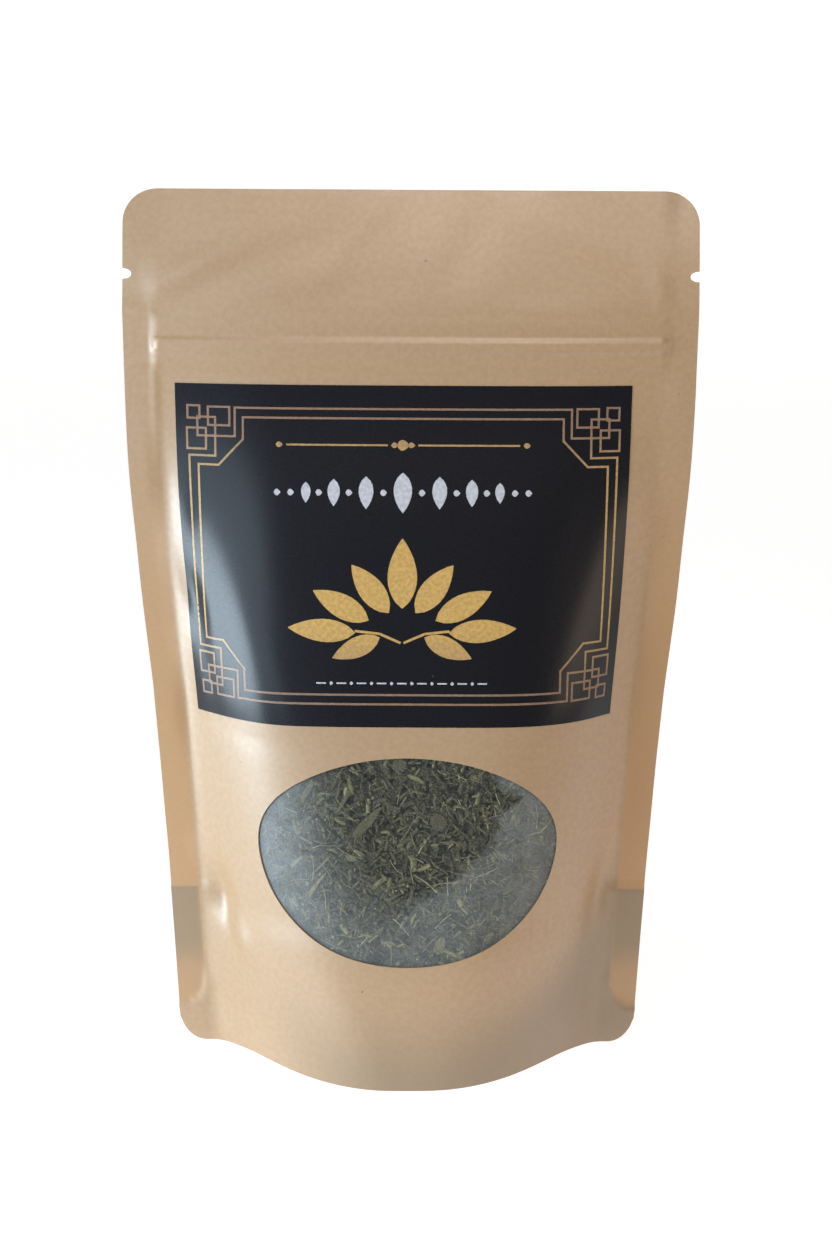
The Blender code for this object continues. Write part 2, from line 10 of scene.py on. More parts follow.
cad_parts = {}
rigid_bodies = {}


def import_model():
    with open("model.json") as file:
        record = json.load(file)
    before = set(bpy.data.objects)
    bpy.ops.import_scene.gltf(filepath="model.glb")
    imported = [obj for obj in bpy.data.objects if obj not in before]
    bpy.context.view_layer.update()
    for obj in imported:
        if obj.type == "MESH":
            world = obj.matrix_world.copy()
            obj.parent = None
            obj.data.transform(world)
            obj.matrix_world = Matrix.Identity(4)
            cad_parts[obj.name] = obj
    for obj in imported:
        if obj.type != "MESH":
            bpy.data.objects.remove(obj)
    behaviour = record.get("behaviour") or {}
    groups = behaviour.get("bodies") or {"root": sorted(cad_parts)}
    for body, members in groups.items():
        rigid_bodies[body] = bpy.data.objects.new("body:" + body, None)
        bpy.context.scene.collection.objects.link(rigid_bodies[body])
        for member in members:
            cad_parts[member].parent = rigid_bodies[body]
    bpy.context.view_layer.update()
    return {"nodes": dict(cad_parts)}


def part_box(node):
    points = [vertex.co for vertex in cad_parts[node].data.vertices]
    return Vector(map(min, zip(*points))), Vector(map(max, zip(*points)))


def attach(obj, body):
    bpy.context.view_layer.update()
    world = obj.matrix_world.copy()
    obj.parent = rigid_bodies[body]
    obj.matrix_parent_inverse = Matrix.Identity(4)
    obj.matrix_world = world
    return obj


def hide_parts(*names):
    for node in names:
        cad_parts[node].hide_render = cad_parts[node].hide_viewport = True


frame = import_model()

MM = 0.001

# The front panel. A sheet of kraft paper laminated to film, with an oval window punched out of it, rounded
# corners and a tear notch in each side. It is cut flat, on paper coordinates (u across from the middle, v down
# from the top edge), and then takes the shape of the filled pouch.

PANEL_LOW, PANEL_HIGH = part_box("front_panel")
HALF_WIDTH = (PANEL_HIGH.x - PANEL_LOW.x) / 2
POUCH_HEIGHT = PANEL_HIGH.z
PAPER_HEIGHT = 204 * MM
SIDE_SEAL = 7 * MM
BELLY_HALF = HALF_WIDTH - SIDE_SEAL
LAMINATE = 0.28 * MM
TOP_CORNER_RADIUS = 7.5 * MM
BOTTOM_CORNER_WIDTH = 6.5 * MM
BOTTOM_CORNER_HEIGHT = 8.5 * MM
NOTCH_FROM_TOP = 19.1 * MM
NOTCH_DEPTH = 2.0 * MM
NOTCH_HALF_MOUTH = 1.2 * MM
WINDOW_HALF_WIDTH = 35.4 * MM
WINDOW_WIDEST = 147.8 * MM
WINDOW_RISE = 21.5 * MM
WINDOW_DROP = 26.8 * MM

# How far the middle of a panel stands out, by distance down the paper, and how it rounds off to its side
# seals
BELLY_STATIONS = (0, 35 * MM, 50 * MM, 75 * MM, 115 * MM, 160 * MM, PAPER_HEIGHT)
BELLY_DEPTHS = (0.4 * MM, 0.6 * MM, 1.0 * MM, 7.7 * MM, 15.5 * MM, 21.4 * MM, 26.4 * MM)
BELLY_SMOOTHING = 7 * MM
BODY_FLATNESS, BASE_FLATNESS = 4.8, 2.6
BODY_TAPER, BASE_TAPER = 1.55, 1.82
BODY_ENDS = 115 * MM
FORM_STEP = 0.5 * MM
HEADER_LEAN = 7 * MM
LEAN_STARTS = 27 * MM
LEAN_POWER = 1.1

GUSSET_TOP = 164.5 * MM
SEAL_ARC_LOW = 8 * MM
SEAL_ARC_SIDE = 37 * MM
SEAL_ARC_POWER = 2.4
PLY_STEP = 0.7 * MM
SHEET_CLEARANCE = 0.15 * MM
ZIP_FROM_TOP = 34 * MM
ZIP_HALF_LENGTH = 54.5 * MM
SEAL_END = 188.6 * MM
SEAL_END_RADIUS = 6 * MM

CELL = 1.2 * MM
FINE_CELL = 0.55 * MM
PLATE = 10 * MM


def smooth_step(x):
    x = np.clip(x, 0, 1)
    return x * x * (3 - 2 * x)


def belly_line(stations):
    offsets = np.linspace(-2, 2, 17)
    weights = np.exp(-(offsets**2))
    total = 0
    for offset, weight in zip(offsets * BELLY_SMOOTHING, weights):
        total += weight * np.interp(stations + offset, BELLY_STATIONS, BELLY_DEPTHS)
    return total / weights.sum()


def header_lean(v):
    """Above the zip both panels lean back together."""
    return HEADER_LEAN * np.clip(1 - v / LEAN_STARTS, 0, 1) ** LEAN_POWER


def length_down(slope, down):
    return np.concatenate([[0], np.cumsum(np.sqrt(1 - slope[1:] ** 2) * np.diff(down))])


def form_tables():
    """Paper doesn't stretch: how far across and out each point of the sheet goes, and the height lost."""
    down = np.arange(0, PAPER_HEIGHT + FORM_STEP / 2, FORM_STEP)
    depth = belly_line(down)
    lean = np.gradient(header_lean(down), down)
    fall = length_down(np.hypot(np.gradient(depth, down), lean), down)
    side_fall = length_down(lean, down)
    side_fall *= fall[-1] / side_fall[-1]
    towards_base = np.clip((down - BODY_ENDS) / (PAPER_HEIGHT - BODY_ENDS), 0, 1)
    flatness = BODY_FLATNESS + (BASE_FLATNESS - BODY_FLATNESS) * towards_base
    taper = BODY_TAPER + (BASE_TAPER - BODY_TAPER) * towards_base
    share = np.linspace(0, 1, 401)
    across = np.arange(0, HALF_WIDTH + FORM_STEP, FORM_STEP)
    reach, bulge = [], []
    for d, f, e in zip(depth, flatness, taper):
        profile = d * (1 - share**f) ** e
        low, high = BELLY_HALF / 2, BELLY_HALF
        for _ in range(30):
            half = (low + high) / 2
            length = np.hypot(half * np.diff(share), np.diff(profile)).sum()
            low, high = (half, high) if length < BELLY_HALF else (low, half)
        along = np.concatenate([[0], np.cumsum(np.hypot(half * np.diff(share), np.diff(profile)))])
        t = np.interp(across, along, share)
        reach.append(t * half + np.maximum(across - BELLY_HALF, 0))
        bulge.append(d * (1 - t**f) ** e)
    tables = {"down": down, "fall": fall, "side_fall": side_fall}
    return tables | {"reach": np.array(reach), "bulge": np.array(bulge)}


FORM = form_tables()


def from_table(name, u, v):
    table = FORM[name]
    row = np.clip(v / FORM_STEP, 0, table.shape[0] - 1.001)
    column = np.clip(np.abs(u) / FORM_STEP, 0, table.shape[1] - 1.001)
    i, j = row.astype(int), column.astype(int)
    a, b = row - i, column - j
    top = table[i, j] * (1 - b) + table[i, j + 1] * b
    low = table[i + 1, j] * (1 - b) + table[i + 1, j + 1] * b
    return top * (1 - a) + low * a


def zip_relief(u, v):
    """The strips of the zip show as a low band, and its rib and groove as a sharper ridge."""
    down = v - ZIP_FROM_TOP
    band = 0.48 * MM * (1 - smooth_step((np.abs(down) - 4.0 * MM) / (3.2 * MM)))
    ridge = 0.75 * MM * (1 - smooth_step((np.abs(down - 0.4 * MM) - 0.9 * MM) / (1.2 * MM)))
    ends = 1 - smooth_step((np.abs(u) - ZIP_HALF_LENGTH - 1.1 * MM) / (2.2 * MM))
    return (band + ridge) * ends


def soft_fold(u, v, across, down, angle, length, width, height):
    """A soft fold or dent at (across, down) on the paper, lying along angle; in degrees and millimetres."""
    turn = math.radians(angle)
    x, y = u - across * MM, v - down * MM
    along = (x * math.cos(turn) + y * math.sin(turn)) / (length * MM)
    beside = (y * math.cos(turn) - x * math.sin(turn)) / (width * MM)
    return height * MM * np.exp(-(along**2) - beside**2)


def front_folds(u, v):
    """The front's folds and dents, listed one by one: where the fill presses unevenly and fingers have held it."""
    places = (
        (-48.5, 166.5, 78, 7.5, 3.4, -2.5), (-43.5, 174.0, 58, 7, 2.8, 1.2), (-33.0, 92, 88, 34, 8.0, 0.45),
        (-50.0, 92.5, 78, 8, 2.6, -1.0), (-46.5, 98, 80, 12, 2.6, 0.30), (-51.5, 71, 92, 9, 2.4, 0.35),
        (-50.5, 112, 84, 9, 2.6, 0.35), (50.5, 166, 100, 9, 3.2, -1.2), (47.0, 122, 95, 20, 4.0, -0.3),
        (-13.0, 189, 65, 16, 5.0, 0.35), (-24.0, 186, 70, 14, 5.0, -0.25), (22.0, 190, 110, 15, 6.0, -0.25),
        (-30.0, 124, 10, 16, 2.6, -0.22), (33.0, 124, -8, 15, 2.8, -0.25), (-35.0, 101, 70, 22, 5.0, 0.3),
        (38.0, 78, 105, 22, 5.0, -0.3),
    )
    folds = sum(soft_fold(u, v, *place) for place in places)
    return folds * (1 - smooth_step((np.abs(u) - 53 * MM) / (3.5 * MM)))


def waves(u, v):
    """The header and the side seals are flat plies that wave together, front and back; the zip holds them flat."""
    header = 1 - smooth_step((v - 24 * MM) / (22 * MM))
    wave = 0.5 * np.sin(u / (19 * MM) + 0.6) * np.cos(v / (26 * MM) + 0.3)
    wave += 0.28 * np.sin(u / (8.5 * MM) + v / (13 * MM) + 1.9)
    wave += 0.14 * np.sin(u / (5.2 * MM) - v / (8.0 * MM))
    side = smooth_step((np.abs(u) - 55 * MM) / (5 * MM)) * (1 - smooth_step((v - 150 * MM) / (12 * MM)))
    ripple = 0.3 * np.sin(v / (10.5 * MM) + np.sign(u) * 0.8) + 0.16 * np.sin(v / (4.3 * MM) + 2.0)
    creases = soft_fold(u, v, -44, 17, -14, 26, 3.0, 0.22) + soft_fold(u, v, -30, 22, 166, 24, 3.5, -0.2)
    creases += soft_fold(u, v, 12, 14, 118, 17, 4.5, 0.25) + soft_fold(u, v, 41, 12, 24, 18, 4.0, -0.2)
    creases += soft_fold(u, v, -48, 17.5, -22, 12, 3.0, -0.85) + soft_fold(u, v, -49, 24, -12, 9, 2.6, 0.35)
    creases += soft_fold(u, v, -14, 12, 128, 13, 2.6, -0.22) + soft_fold(u, v, 55, 23, 70, 6, 2.2, -0.3)
    stiff = 1 - 0.9 * (1 - smooth_step((np.abs(v - ZIP_FROM_TOP) - 6 * MM) / (6 * MM)))
    seam = soft_fold(u, v, -56.8, 44, 90, 16, 0.9, -0.16)
    seam += soft_fold(u, v, -60.5, 27.5, 4, 4, 0.8, -0.16) + soft_fold(u, v, -60.5, 39.0, -6, 4, 0.9, -0.20)
    return ((wave * MM * 0.55 + creases) * header + ripple * MM * side) * stiff + seam


def past_seal(u, v):
    """0 on the side seal, and 1 past its rounded lower end, by distance from that end's centre."""
    across = (HALF_WIDTH - np.abs(u)) / SEAL_END_RADIUS
    below = np.maximum(v - SEAL_END, 0) / SEAL_END_RADIUS
    return smooth_step((np.hypot(across, below) - 1) / 0.16)


def corner_spring(u, v):
    """Past the end of the side seal, the bottom corners of the panels spring apart."""
    outer = smooth_step((np.abs(u) - 40 * MM) / (16 * MM))
    splay = 1.0 * MM * smooth_step((v - PAPER_HEIGHT + 12 * MM) / (12 * MM)) * outer
    low = smooth_step((v - SEAL_END + 4 * MM) / (5 * MM)) * smooth_step((np.abs(u) - 52 * MM) / (5 * MM))
    return splay + 0.5 * MM * past_seal(u, v) * low


def inner_face(u, v, folds):
    middle = np.clip(1 - (np.abs(u) / HALF_WIDTH) ** 3, 0, 1)
    lost = middle * np.interp(v, FORM["down"], FORM["fall"])
    lost += (1 - middle) * np.interp(v, FORM["down"], FORM["side_fall"])
    level = np.interp(lost, FORM["fall"], FORM["down"])
    gusset_ply = PLY_STEP * smooth_step((v - GUSSET_TOP + 1.2 * MM) / (1.4 * MM))
    edge = smooth_step((np.abs(u) - 52 * MM) / (4.5 * MM))
    gusset_ply = gusset_ply * edge + PLY_STEP * smooth_step((v - GUSSET_TOP) / (9 * MM)) * (1 - edge)
    out = SHEET_CLEARANCE + gusset_ply + corner_spring(u, v) + from_table("bulge", u, level)
    out += zip_relief(u, v) + folds(u, v) - waves(u, v)
    return np.stack([np.copysign(from_table("reach", u, level), u), -out, POUCH_HEIGHT - lost], axis=-1)


def formed(u, v, outwards, folds=front_folds):
    """Where points of a flat sheet on the front go: out from the panel's inner face, square to the sheet."""
    point = inner_face(u, v, folds)
    step = 0.3 * MM
    ahead = inner_face(np.minimum(u + step, HALF_WIDTH), v, folds)
    behind = inner_face(np.maximum(u - step, -HALF_WIDTH), v, folds)
    along = ahead - behind
    normal = np.stack([along[..., 1], -along[..., 0], np.zeros_like(u)], axis=-1)
    normal /= np.linalg.norm(normal, axis=-1, keepdims=True)
    return point + normal * np.broadcast_to(outwards, u.shape)[..., None]


def object_from(bm, name):
    mesh = bpy.data.meshes.new(name)
    bm.to_mesh(mesh)
    bm.free()
    made = bpy.data.objects.new(name, mesh)
    bpy.context.scene.collection.objects.link(made)
    return made


def evaluated_mesh(thing):
    return bpy.data.meshes.new_from_object(thing.evaluated_get(bpy.context.evaluated_depsgraph_get()))


def raise_faces(bm, faces, height):
    """Gives flat faces a thickness; returns the points of the raised side."""
    raised = bmesh.ops.extrude_face_region(bm, geom=faces)["geom"]
    top = [g for g in raised if isinstance(g, bmesh.types.BMVert)]
    bmesh.ops.translate(bm, vec=(0, 0, height), verts=top)
    return top


def lines(stops, steps):
    """Places between the stops, at most each step apart."""
    spans = zip(stops, stops[1:], steps)
    places = [np.linspace(a, b, math.ceil((b - a) / s), endpoint=False) for a, b, s in spans]
    return [*np.concatenate(places), stops[-1]]


def flat_plate(name, columns, rows):
    """A closed flat plate with its grid lines at these places across and down the paper."""
    bm = bmesh.new()
    bmesh.ops.create_grid(bm, x_segments=len(columns) - 1, y_segments=len(rows) - 1, size=0.5)
    for vert in bm.verts:
        column = round((vert.co.x + 0.5) * (len(columns) - 1))
        row = round((vert.co.y + 0.5) * (len(rows) - 1))
        vert.co = (columns[column], rows[row], 0)
    raise_faces(bm, bm.faces[:], PLATE)
    bmesh.ops.recalc_face_normals(bm, faces=bm.faces[:])
    return object_from(bm, name)


def punch(name, outline):
    """A punch with a flat outline, taller than the plate that it cuts."""
    curve = bpy.data.curves.new(name, "CURVE")
    curve.dimensions = "2D"
    curve.fill_mode = "BOTH"
    curve.extrude = PLATE
    spline = curve.splines.new("POLY")
    spline.points.add(len(outline) - 1)
    for point, (u, v) in zip(spline.points, outline):
        point.co = (u, v, 0, 1)
    spline.use_cyclic_u = True
    drawn = bpy.data.objects.new(name, curve)
    bpy.context.scene.collection.objects.link(drawn)
    mesh = evaluated_mesh(drawn)
    bpy.data.objects.remove(drawn, do_unlink=True)
    bm = bmesh.new()
    bm.from_mesh(mesh)
    bmesh.ops.remove_doubles(bm, verts=bm.verts[:], dist=0.001 * MM)
    bmesh.ops.translate(bm, vec=(0, 0, PLATE / 2), verts=bm.verts[:])
    if bm.calc_volume(signed=True) < 0:
        bmesh.ops.reverse_faces(bm, faces=bm.faces[:])
    return object_from(bm, name)


def combine(target, other, operation):
    """Applies one Boolean with another object, which is then removed."""
    modifier = target.modifiers.new("combine", "BOOLEAN")
    modifier.operation = operation
    modifier.object = other
    modifier.solver = "MANIFOLD"
    done = evaluated_mesh(target)
    target.modifiers.clear()
    target.data = done
    bpy.data.objects.remove(other, do_unlink=True)


def form(piece, place):
    """Bends a flat plate: place(u, v, w) gives each point; w is 0 on its inner face and 1 on its outer.

    The flat place of each point stays on the mesh as the attribute paper, in metres, for the materials.
    """
    bm = bmesh.new()
    bm.from_mesh(piece.data)
    bmesh.ops.dissolve_degenerate(bm, dist=0.005 * MM, edges=bm.edges[:])
    bmesh.ops.triangulate(bm, faces=[f for f in bm.faces if len(f.verts) > 4])
    bm.to_mesh(piece.data)
    bm.free()
    mesh = piece.data
    flat = np.empty(len(mesh.vertices) * 3)
    mesh.vertices.foreach_get("co", flat)
    mesh.attributes.new("paper", "FLOAT_VECTOR", "POINT").data.foreach_set("vector", flat)
    flat = flat.reshape(-1, 3)
    mesh.vertices.foreach_set("co", place(flat[:, 0], flat[:, 1], flat[:, 2] / PLATE).ravel())
    bm = bmesh.new()
    bm.from_mesh(mesh)
    if bm.calc_volume(signed=True) < 0:
        bmesh.ops.reverse_faces(bm, faces=bm.faces[:])
    bm.to_mesh(mesh)
    bm.free()
    mesh.materials.clear()
    mesh.polygons.foreach_set("material_index", [0] * len(mesh.polygons))
    mesh.shade_smooth()
    mesh.set_sharp_from_angle(angle=math.radians(50))


def arc(centre, radii, start, stop, pieces):
    """Points round part of an ellipse, given its half width and half height."""
    angles = np.radians(np.linspace(start, stop, pieces + 1))
    return [(centre[0] + radii[0] * math.cos(a), centre[1] + radii[1] * math.sin(a)) for a in angles]


def panel_outline():
    top, side = TOP_CORNER_RADIUS, HALF_WIDTH
    low_corner = (side - BOTTOM_CORNER_WIDTH, PAPER_HEIGHT - BOTTOM_CORNER_HEIGHT)
    right = arc((side - top, top), (top, top), -90, 0, 14)
    right += arc((side, NOTCH_FROM_TOP), (NOTCH_DEPTH, NOTCH_HALF_MOUTH), 270, 90, 12)
    right += arc(low_corner, (BOTTOM_CORNER_WIDTH, BOTTOM_CORNER_HEIGHT), 0, 90, 14)
    return right + [(-u, v) for u, v in reversed(right)]


def window_outline(margin=0.0, pieces=120):
    points = []
    for angle in np.linspace(0, 2 * math.pi, pieces, endpoint=False):
        u, v = math.cos(angle), math.sin(angle)
        tall = (WINDOW_DROP if v > 0 else WINDOW_RISE) + margin
        points.append((u * (WINDOW_HALF_WIDTH + margin), WINDOW_WIDEST + v * tall))
    return points


def node(tree, kind, inputs=None, **settings):
    """Adds a node, sets its properties, and gives each of its inputs a value or a link."""
    made = tree.nodes.new(kind)
    for key, value in settings.items():
        setattr(made, key, value)
    for key, value in (inputs or {}).items():
        if isinstance(value, bpy.types.NodeSocket):
            tree.links.new(value, made.inputs[key])
        else:
            made.inputs[key].default_value = value
    return made


def sums(tree, operation, a, b=0.0, clamp=False):
    return node(tree, "ShaderNodeMath", {0: a, 1: b}, operation=operation, use_clamp=clamp).outputs[0]


def between(tree, value, low, high, to_low=0.0, to_high=1.0):
    """A smooth change from to_low to to_high as the value goes from low to high."""
    inputs = {"Value": value, "From Min": low, "From Max": high, "To Min": to_low, "To Max": to_high}
    return node(tree, "ShaderNodeMapRange", inputs, interpolation_type="SMOOTHSTEP").outputs["Result"]


def blend(tree, factor, a, b, how="MIX"):
    made = node(tree, "ShaderNodeMix", {"Factor": factor}, data_type="RGBA", blend_type=how)
    for index, value in ((6, a), (7, b)):
        if isinstance(value, bpy.types.NodeSocket):
            tree.links.new(value, made.inputs[index])
        else:
            made.inputs[index].default_value = (*value, 1)
    return made.outputs[2]


def new_material(name):
    made = bpy.data.materials.new(name)
    made.use_nodes = True
    return made, made.node_tree, made.node_tree.nodes["Principled BSDF"]


def attribute(tree, name, output="Vector"):
    return node(tree, "ShaderNodeAttribute", attribute_name=name).outputs[output]


def noise(tree, place, scale, detail, roughness=0.5, distortion=0.0):
    inputs = {"Vector": place, "Scale": scale, "Detail": detail, "Roughness": roughness, "Distortion": distortion}
    return node(tree, "ShaderNodeTexNoise", inputs).outputs[0]


def cells(tree, place, scale, feature="F1"):
    made = node(tree, "ShaderNodeTexVoronoi", {"Vector": place, "Scale": scale}, feature=feature)
    return made.outputs["Distance"]


def shaded(tree, colour, shade):
    grey = node(tree, "ShaderNodeCombineColor", {0: shade, 1: shade, 2: shade}).outputs[0]
    return blend(tree, 1.0, colour, grey, "MULTIPLY")


def bump(tree, shader, height, strength, distance):
    made = node(tree, "ShaderNodeBump", {"Height": height, "Strength": strength, "Distance": distance})
    tree.links.new(made.outputs[0], shader.inputs["Normal"])


def fibre_group():
    """Long paper fibres, cloudy pulp and stray dark specks, from a place on the sheet in metres."""
    group = bpy.data.node_groups.new("pulp_and_fibres", "ShaderNodeTree")
    group.interface.new_socket("Place", in_out="INPUT", socket_type="NodeSocketVector")
    for name in ("Fibres", "Pulp", "Specks"):
        group.interface.new_socket(name, in_out="OUTPUT", socket_type="NodeSocketFloat")
    place = node(group, "NodeGroupInput").outputs["Place"]
    out = node(group, "NodeGroupOutput")
    scaled = {0: place, 1: (1.0, 0.35, 1.0)}
    stretched = node(group, "ShaderNodeVectorMath", scaled, operation="MULTIPLY").outputs[0]
    fine = noise(group, stretched, 3200.0, 3.0, 0.65)
    long = noise(group, place, 1300.0, 4.0, distortion=1.2)
    fibres = sums(group, "ADD", sums(group, "MULTIPLY", fine, 0.6), sums(group, "MULTIPLY", long, 0.4))
    cloud = noise(group, place, 700.0, 5.0, 0.62)
    spots = cells(group, place, 210.0)
    rare = noise(group, place, 97.0, 0.0)
    dots = sums(group, "MULTIPLY", between(group, spots, 0.035, 0.075, 1.0, 0.0),
                between(group, rare, 0.69, 0.73))
    group.links.new(fibres, out.inputs["Fibres"])
    group.links.new(cloud, out.inputs["Pulp"])
    group.links.new(dots, out.inputs["Specks"])
    return group


PULP = fibre_group()
KRAFT_LIGHT = (0.470, 0.298, 0.164)
KRAFT_DARK = (0.434, 0.270, 0.144)
KRAFT_SPECK = (0.14, 0.08, 0.045)
# SEAL_GLOW is a painted glow, standing in for light shining through the two-ply side seals.
SEAL_GLOW = (0.475, 0.258, 0.108)
# Painted shade where four plies would block the light that shines through the seals.
FOUR_PLY_SHADE = (0.285, 0.190, 0.103)
# Painted shade for the lower middle of the panels, below the gusset's seal arc.
LOW_PAINTED_SHADE = (0.225, 0.152, 0.086)


def kraft_material(name):
    """Satin kraft laminate. Where only two plies are sealed together, light shining through them is painted into the
    colour as a warm glow.
    """
    made, tree, shader = new_material(name)
    paper = attribute(tree, "paper")
    pulp = node(tree, "ShaderNodeGroup", {"Place": paper}, node_tree=PULP)
    place = node(tree, "ShaderNodeSeparateXYZ", {0: paper})
    sealed = attribute(tree, "sealed", "Fac")
    side = sums(tree, "ABSOLUTE", place.outputs["X"])
    down = place.outputs["Y"]
    # Painted glow: the sealed side strips are painted a warmer orange, standing in for light shining through two
    # plies; they are made a little rougher too.
    strip = sums(tree, "MULTIPLY", sealed, between(tree, down, 48 * MM, 105 * MM, 0.0, 0.95))
    # Painted shade: where the gusset makes the seal four plies thick, less light would shine through, so it is
    # painted darker and greyer.
    plies = sums(tree, "MULTIPLY", sealed, between(tree, down, GUSSET_TOP - 0.3 * MM, GUSSET_TOP + 0.2 * MM))
    plies = sums(tree, "MULTIPLY", plies, between(tree, down, 178 * MM, 187 * MM, 1.0, 0.35))
    across = sums(tree, "POWER", sums(tree, "DIVIDE", side, BELLY_HALF), SEAL_ARC_POWER)
    seal_arc = sums(tree, "MULTIPLY_ADD", across, SEAL_ARC_LOW - SEAL_ARC_SIDE)
    seal_arc.node.inputs[2].default_value = PAPER_HEIGHT - SEAL_ARC_LOW
    below_arc = sums(tree, "SUBTRACT", down, seal_arc)
    unsealed = sums(tree, "SUBTRACT", 1.0, sealed)
    # Painted shade: below the gusset's seal arc the middle is painted darker, less so towards the left where the
    # light falls.
    under_arc_shade = sums(tree, "MULTIPLY", between(tree, below_arc, -16 * MM, 8 * MM), unsealed)
    under_arc_shade = sums(tree, "MULTIPLY", under_arc_shade, between(tree, place.outputs["X"], -42 * MM, -4 * MM, 0.10, 0.75))
    cloudy = between(tree, pulp.outputs["Pulp"], 0.35, 0.65)
    colour = blend(tree, cloudy, KRAFT_DARK, KRAFT_LIGHT)
    colour = blend(tree, strip, colour, SEAL_GLOW)
    colour = blend(tree, sums(tree, "MULTIPLY", plies, 0.95), colour, FOUR_PLY_SHADE)
    colour = blend(tree, under_arc_shade, colour, LOW_PAINTED_SHADE)
    shade = between(tree, pulp.outputs["Fibres"], 0.3, 0.7, 0.96, 1.035)
    colour = shaded(tree, colour, shade)
    colour = blend(tree, sums(tree, "MULTIPLY", pulp.outputs["Specks"], 0.75), colour, KRAFT_SPECK)
    tree.links.new(colour, shader.inputs["Base Color"])
    satin = between(tree, pulp.outputs["Pulp"], 0.3, 0.7, 0.44, 0.39)
    tree.links.new(sums(tree, "ADD", satin, sums(tree, "MULTIPLY", strip, 0.25)), shader.inputs["Roughness"])
    shader.inputs["Specular IOR Level"].default_value = 1.0
    shader.inputs["Coat Weight"].default_value = 0.2
    shader.inputs["Coat Roughness"].default_value = 0.42
    bump(tree, shader, pulp.outputs["Fibres"], 0.25, 0.02 * MM)
    return made


def paper_places(mesh):
    """Where each point of a formed sheet lay on the flat paper."""
    flat = np.empty(len(mesh.vertices) * 3)
    mesh.attributes["paper"].data.foreach_get("vector", flat)
    return flat[0::3], flat[1::3]


def make_panel(name, side, windowed, folds):
    """side is 1 for the front panel, and -1 for the back one, which is the front's mirror image."""
    margin, seam = HALF_WIDTH + 1 * MM, BELLY_HALF - 3 * MM
    columns = lines((-margin, -seam, seam, margin), (FINE_CELL, CELL, FINE_CELL))
    rows = lines((-1 * MM, 27 * MM, 41 * MM, PAPER_HEIGHT + 1 * MM), (CELL, FINE_CELL, CELL))
    panel = flat_plate(name, columns, rows)
    combine(panel, punch("panel_punch", panel_outline()), "INTERSECT")
    if windowed:
        combine(panel, punch("window_punch", window_outline()), "DIFFERENCE")

    def place(u, v, w):
        point = formed(u, v, LAMINATE * w, folds) * (1, side, 1)
        point[:, 1] += header_lean(v)
        return point

    form(panel, place)
    u, v = paper_places(panel.data)
    sealed = smooth_step((np.abs(u) - BELLY_HALF + 0.6 * MM) / (1.2 * MM)) * (1 - past_seal(u, v))
    panel.data.attributes.new("sealed", "FLOAT", "POINT").data.foreach_set("value", sealed)
    return panel


front = make_panel("front_sheet", 1, True, front_folds)
front.data.materials.append(kraft_material("kraft_laminate"))
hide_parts("front_panel")
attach(front, "root")

# The back panel. The same laminate with no window and no label, sealed to the front along its sides. It carries
# its own soft dents, and the zip shows through it as it does in front.


def back_folds(u, v):
    folds = soft_fold(u, v, 30, 110, 80, 24, 6, -0.4) + soft_fold(u, v, -36, 92, 100, 20, 5, -0.35)
    folds += soft_fold(u, v, -20, 150, 20, 26, 7, 0.3) + soft_fold(u, v, 46, 166, 95, 10, 3, -0.6)
    folds += soft_fold(u, v, -47, 168, 85, 10, 3, -0.6) + soft_fold(u, v, 8, 188, 75, 14, 6, -0.3)
    folds += soft_fold(u, v, 5, 72, 12, 30, 6, -0.3)
    return folds * (1 - smooth_step((np.abs(u) - 53 * MM) / (3.5 * MM))) + 2 * waves(u, v)


back = make_panel("back_sheet", -1, False, back_folds)
back.data.materials.append(front.data.materials[0])
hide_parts("back_panel")
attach(back, "root")

# The bottom gusset. One sheet of the laminate folded in half, its fold up inside the pouch. Each half is sealed
# to its panel below a curved line, and above that line it slopes up to the fold.

FOLD_MIDDLE_HEIGHT = 22 * MM
FOLD_RISE_POWER = 2.2
FOLD_STEEPNESS = 7
FOLD_STEEPNESS_POWER = 4
FOLD_HALF_GAP = 0.2 * MM
GUSSET_EDGE = HALF_WIDTH - 0.1 * MM
GUSSET_INSET = LAMINATE / 2 + 0.10 * MM


def fold_height(u):
    side = POUCH_HEIGHT - np.interp(GUSSET_TOP, FORM["down"], FORM["side_fall"])
    share = np.minimum(1, np.abs(u) / BELLY_HALF)
    return side - (side - FOLD_MIDDLE_HEIGHT) * (1 - share**FOLD_RISE_POWER)


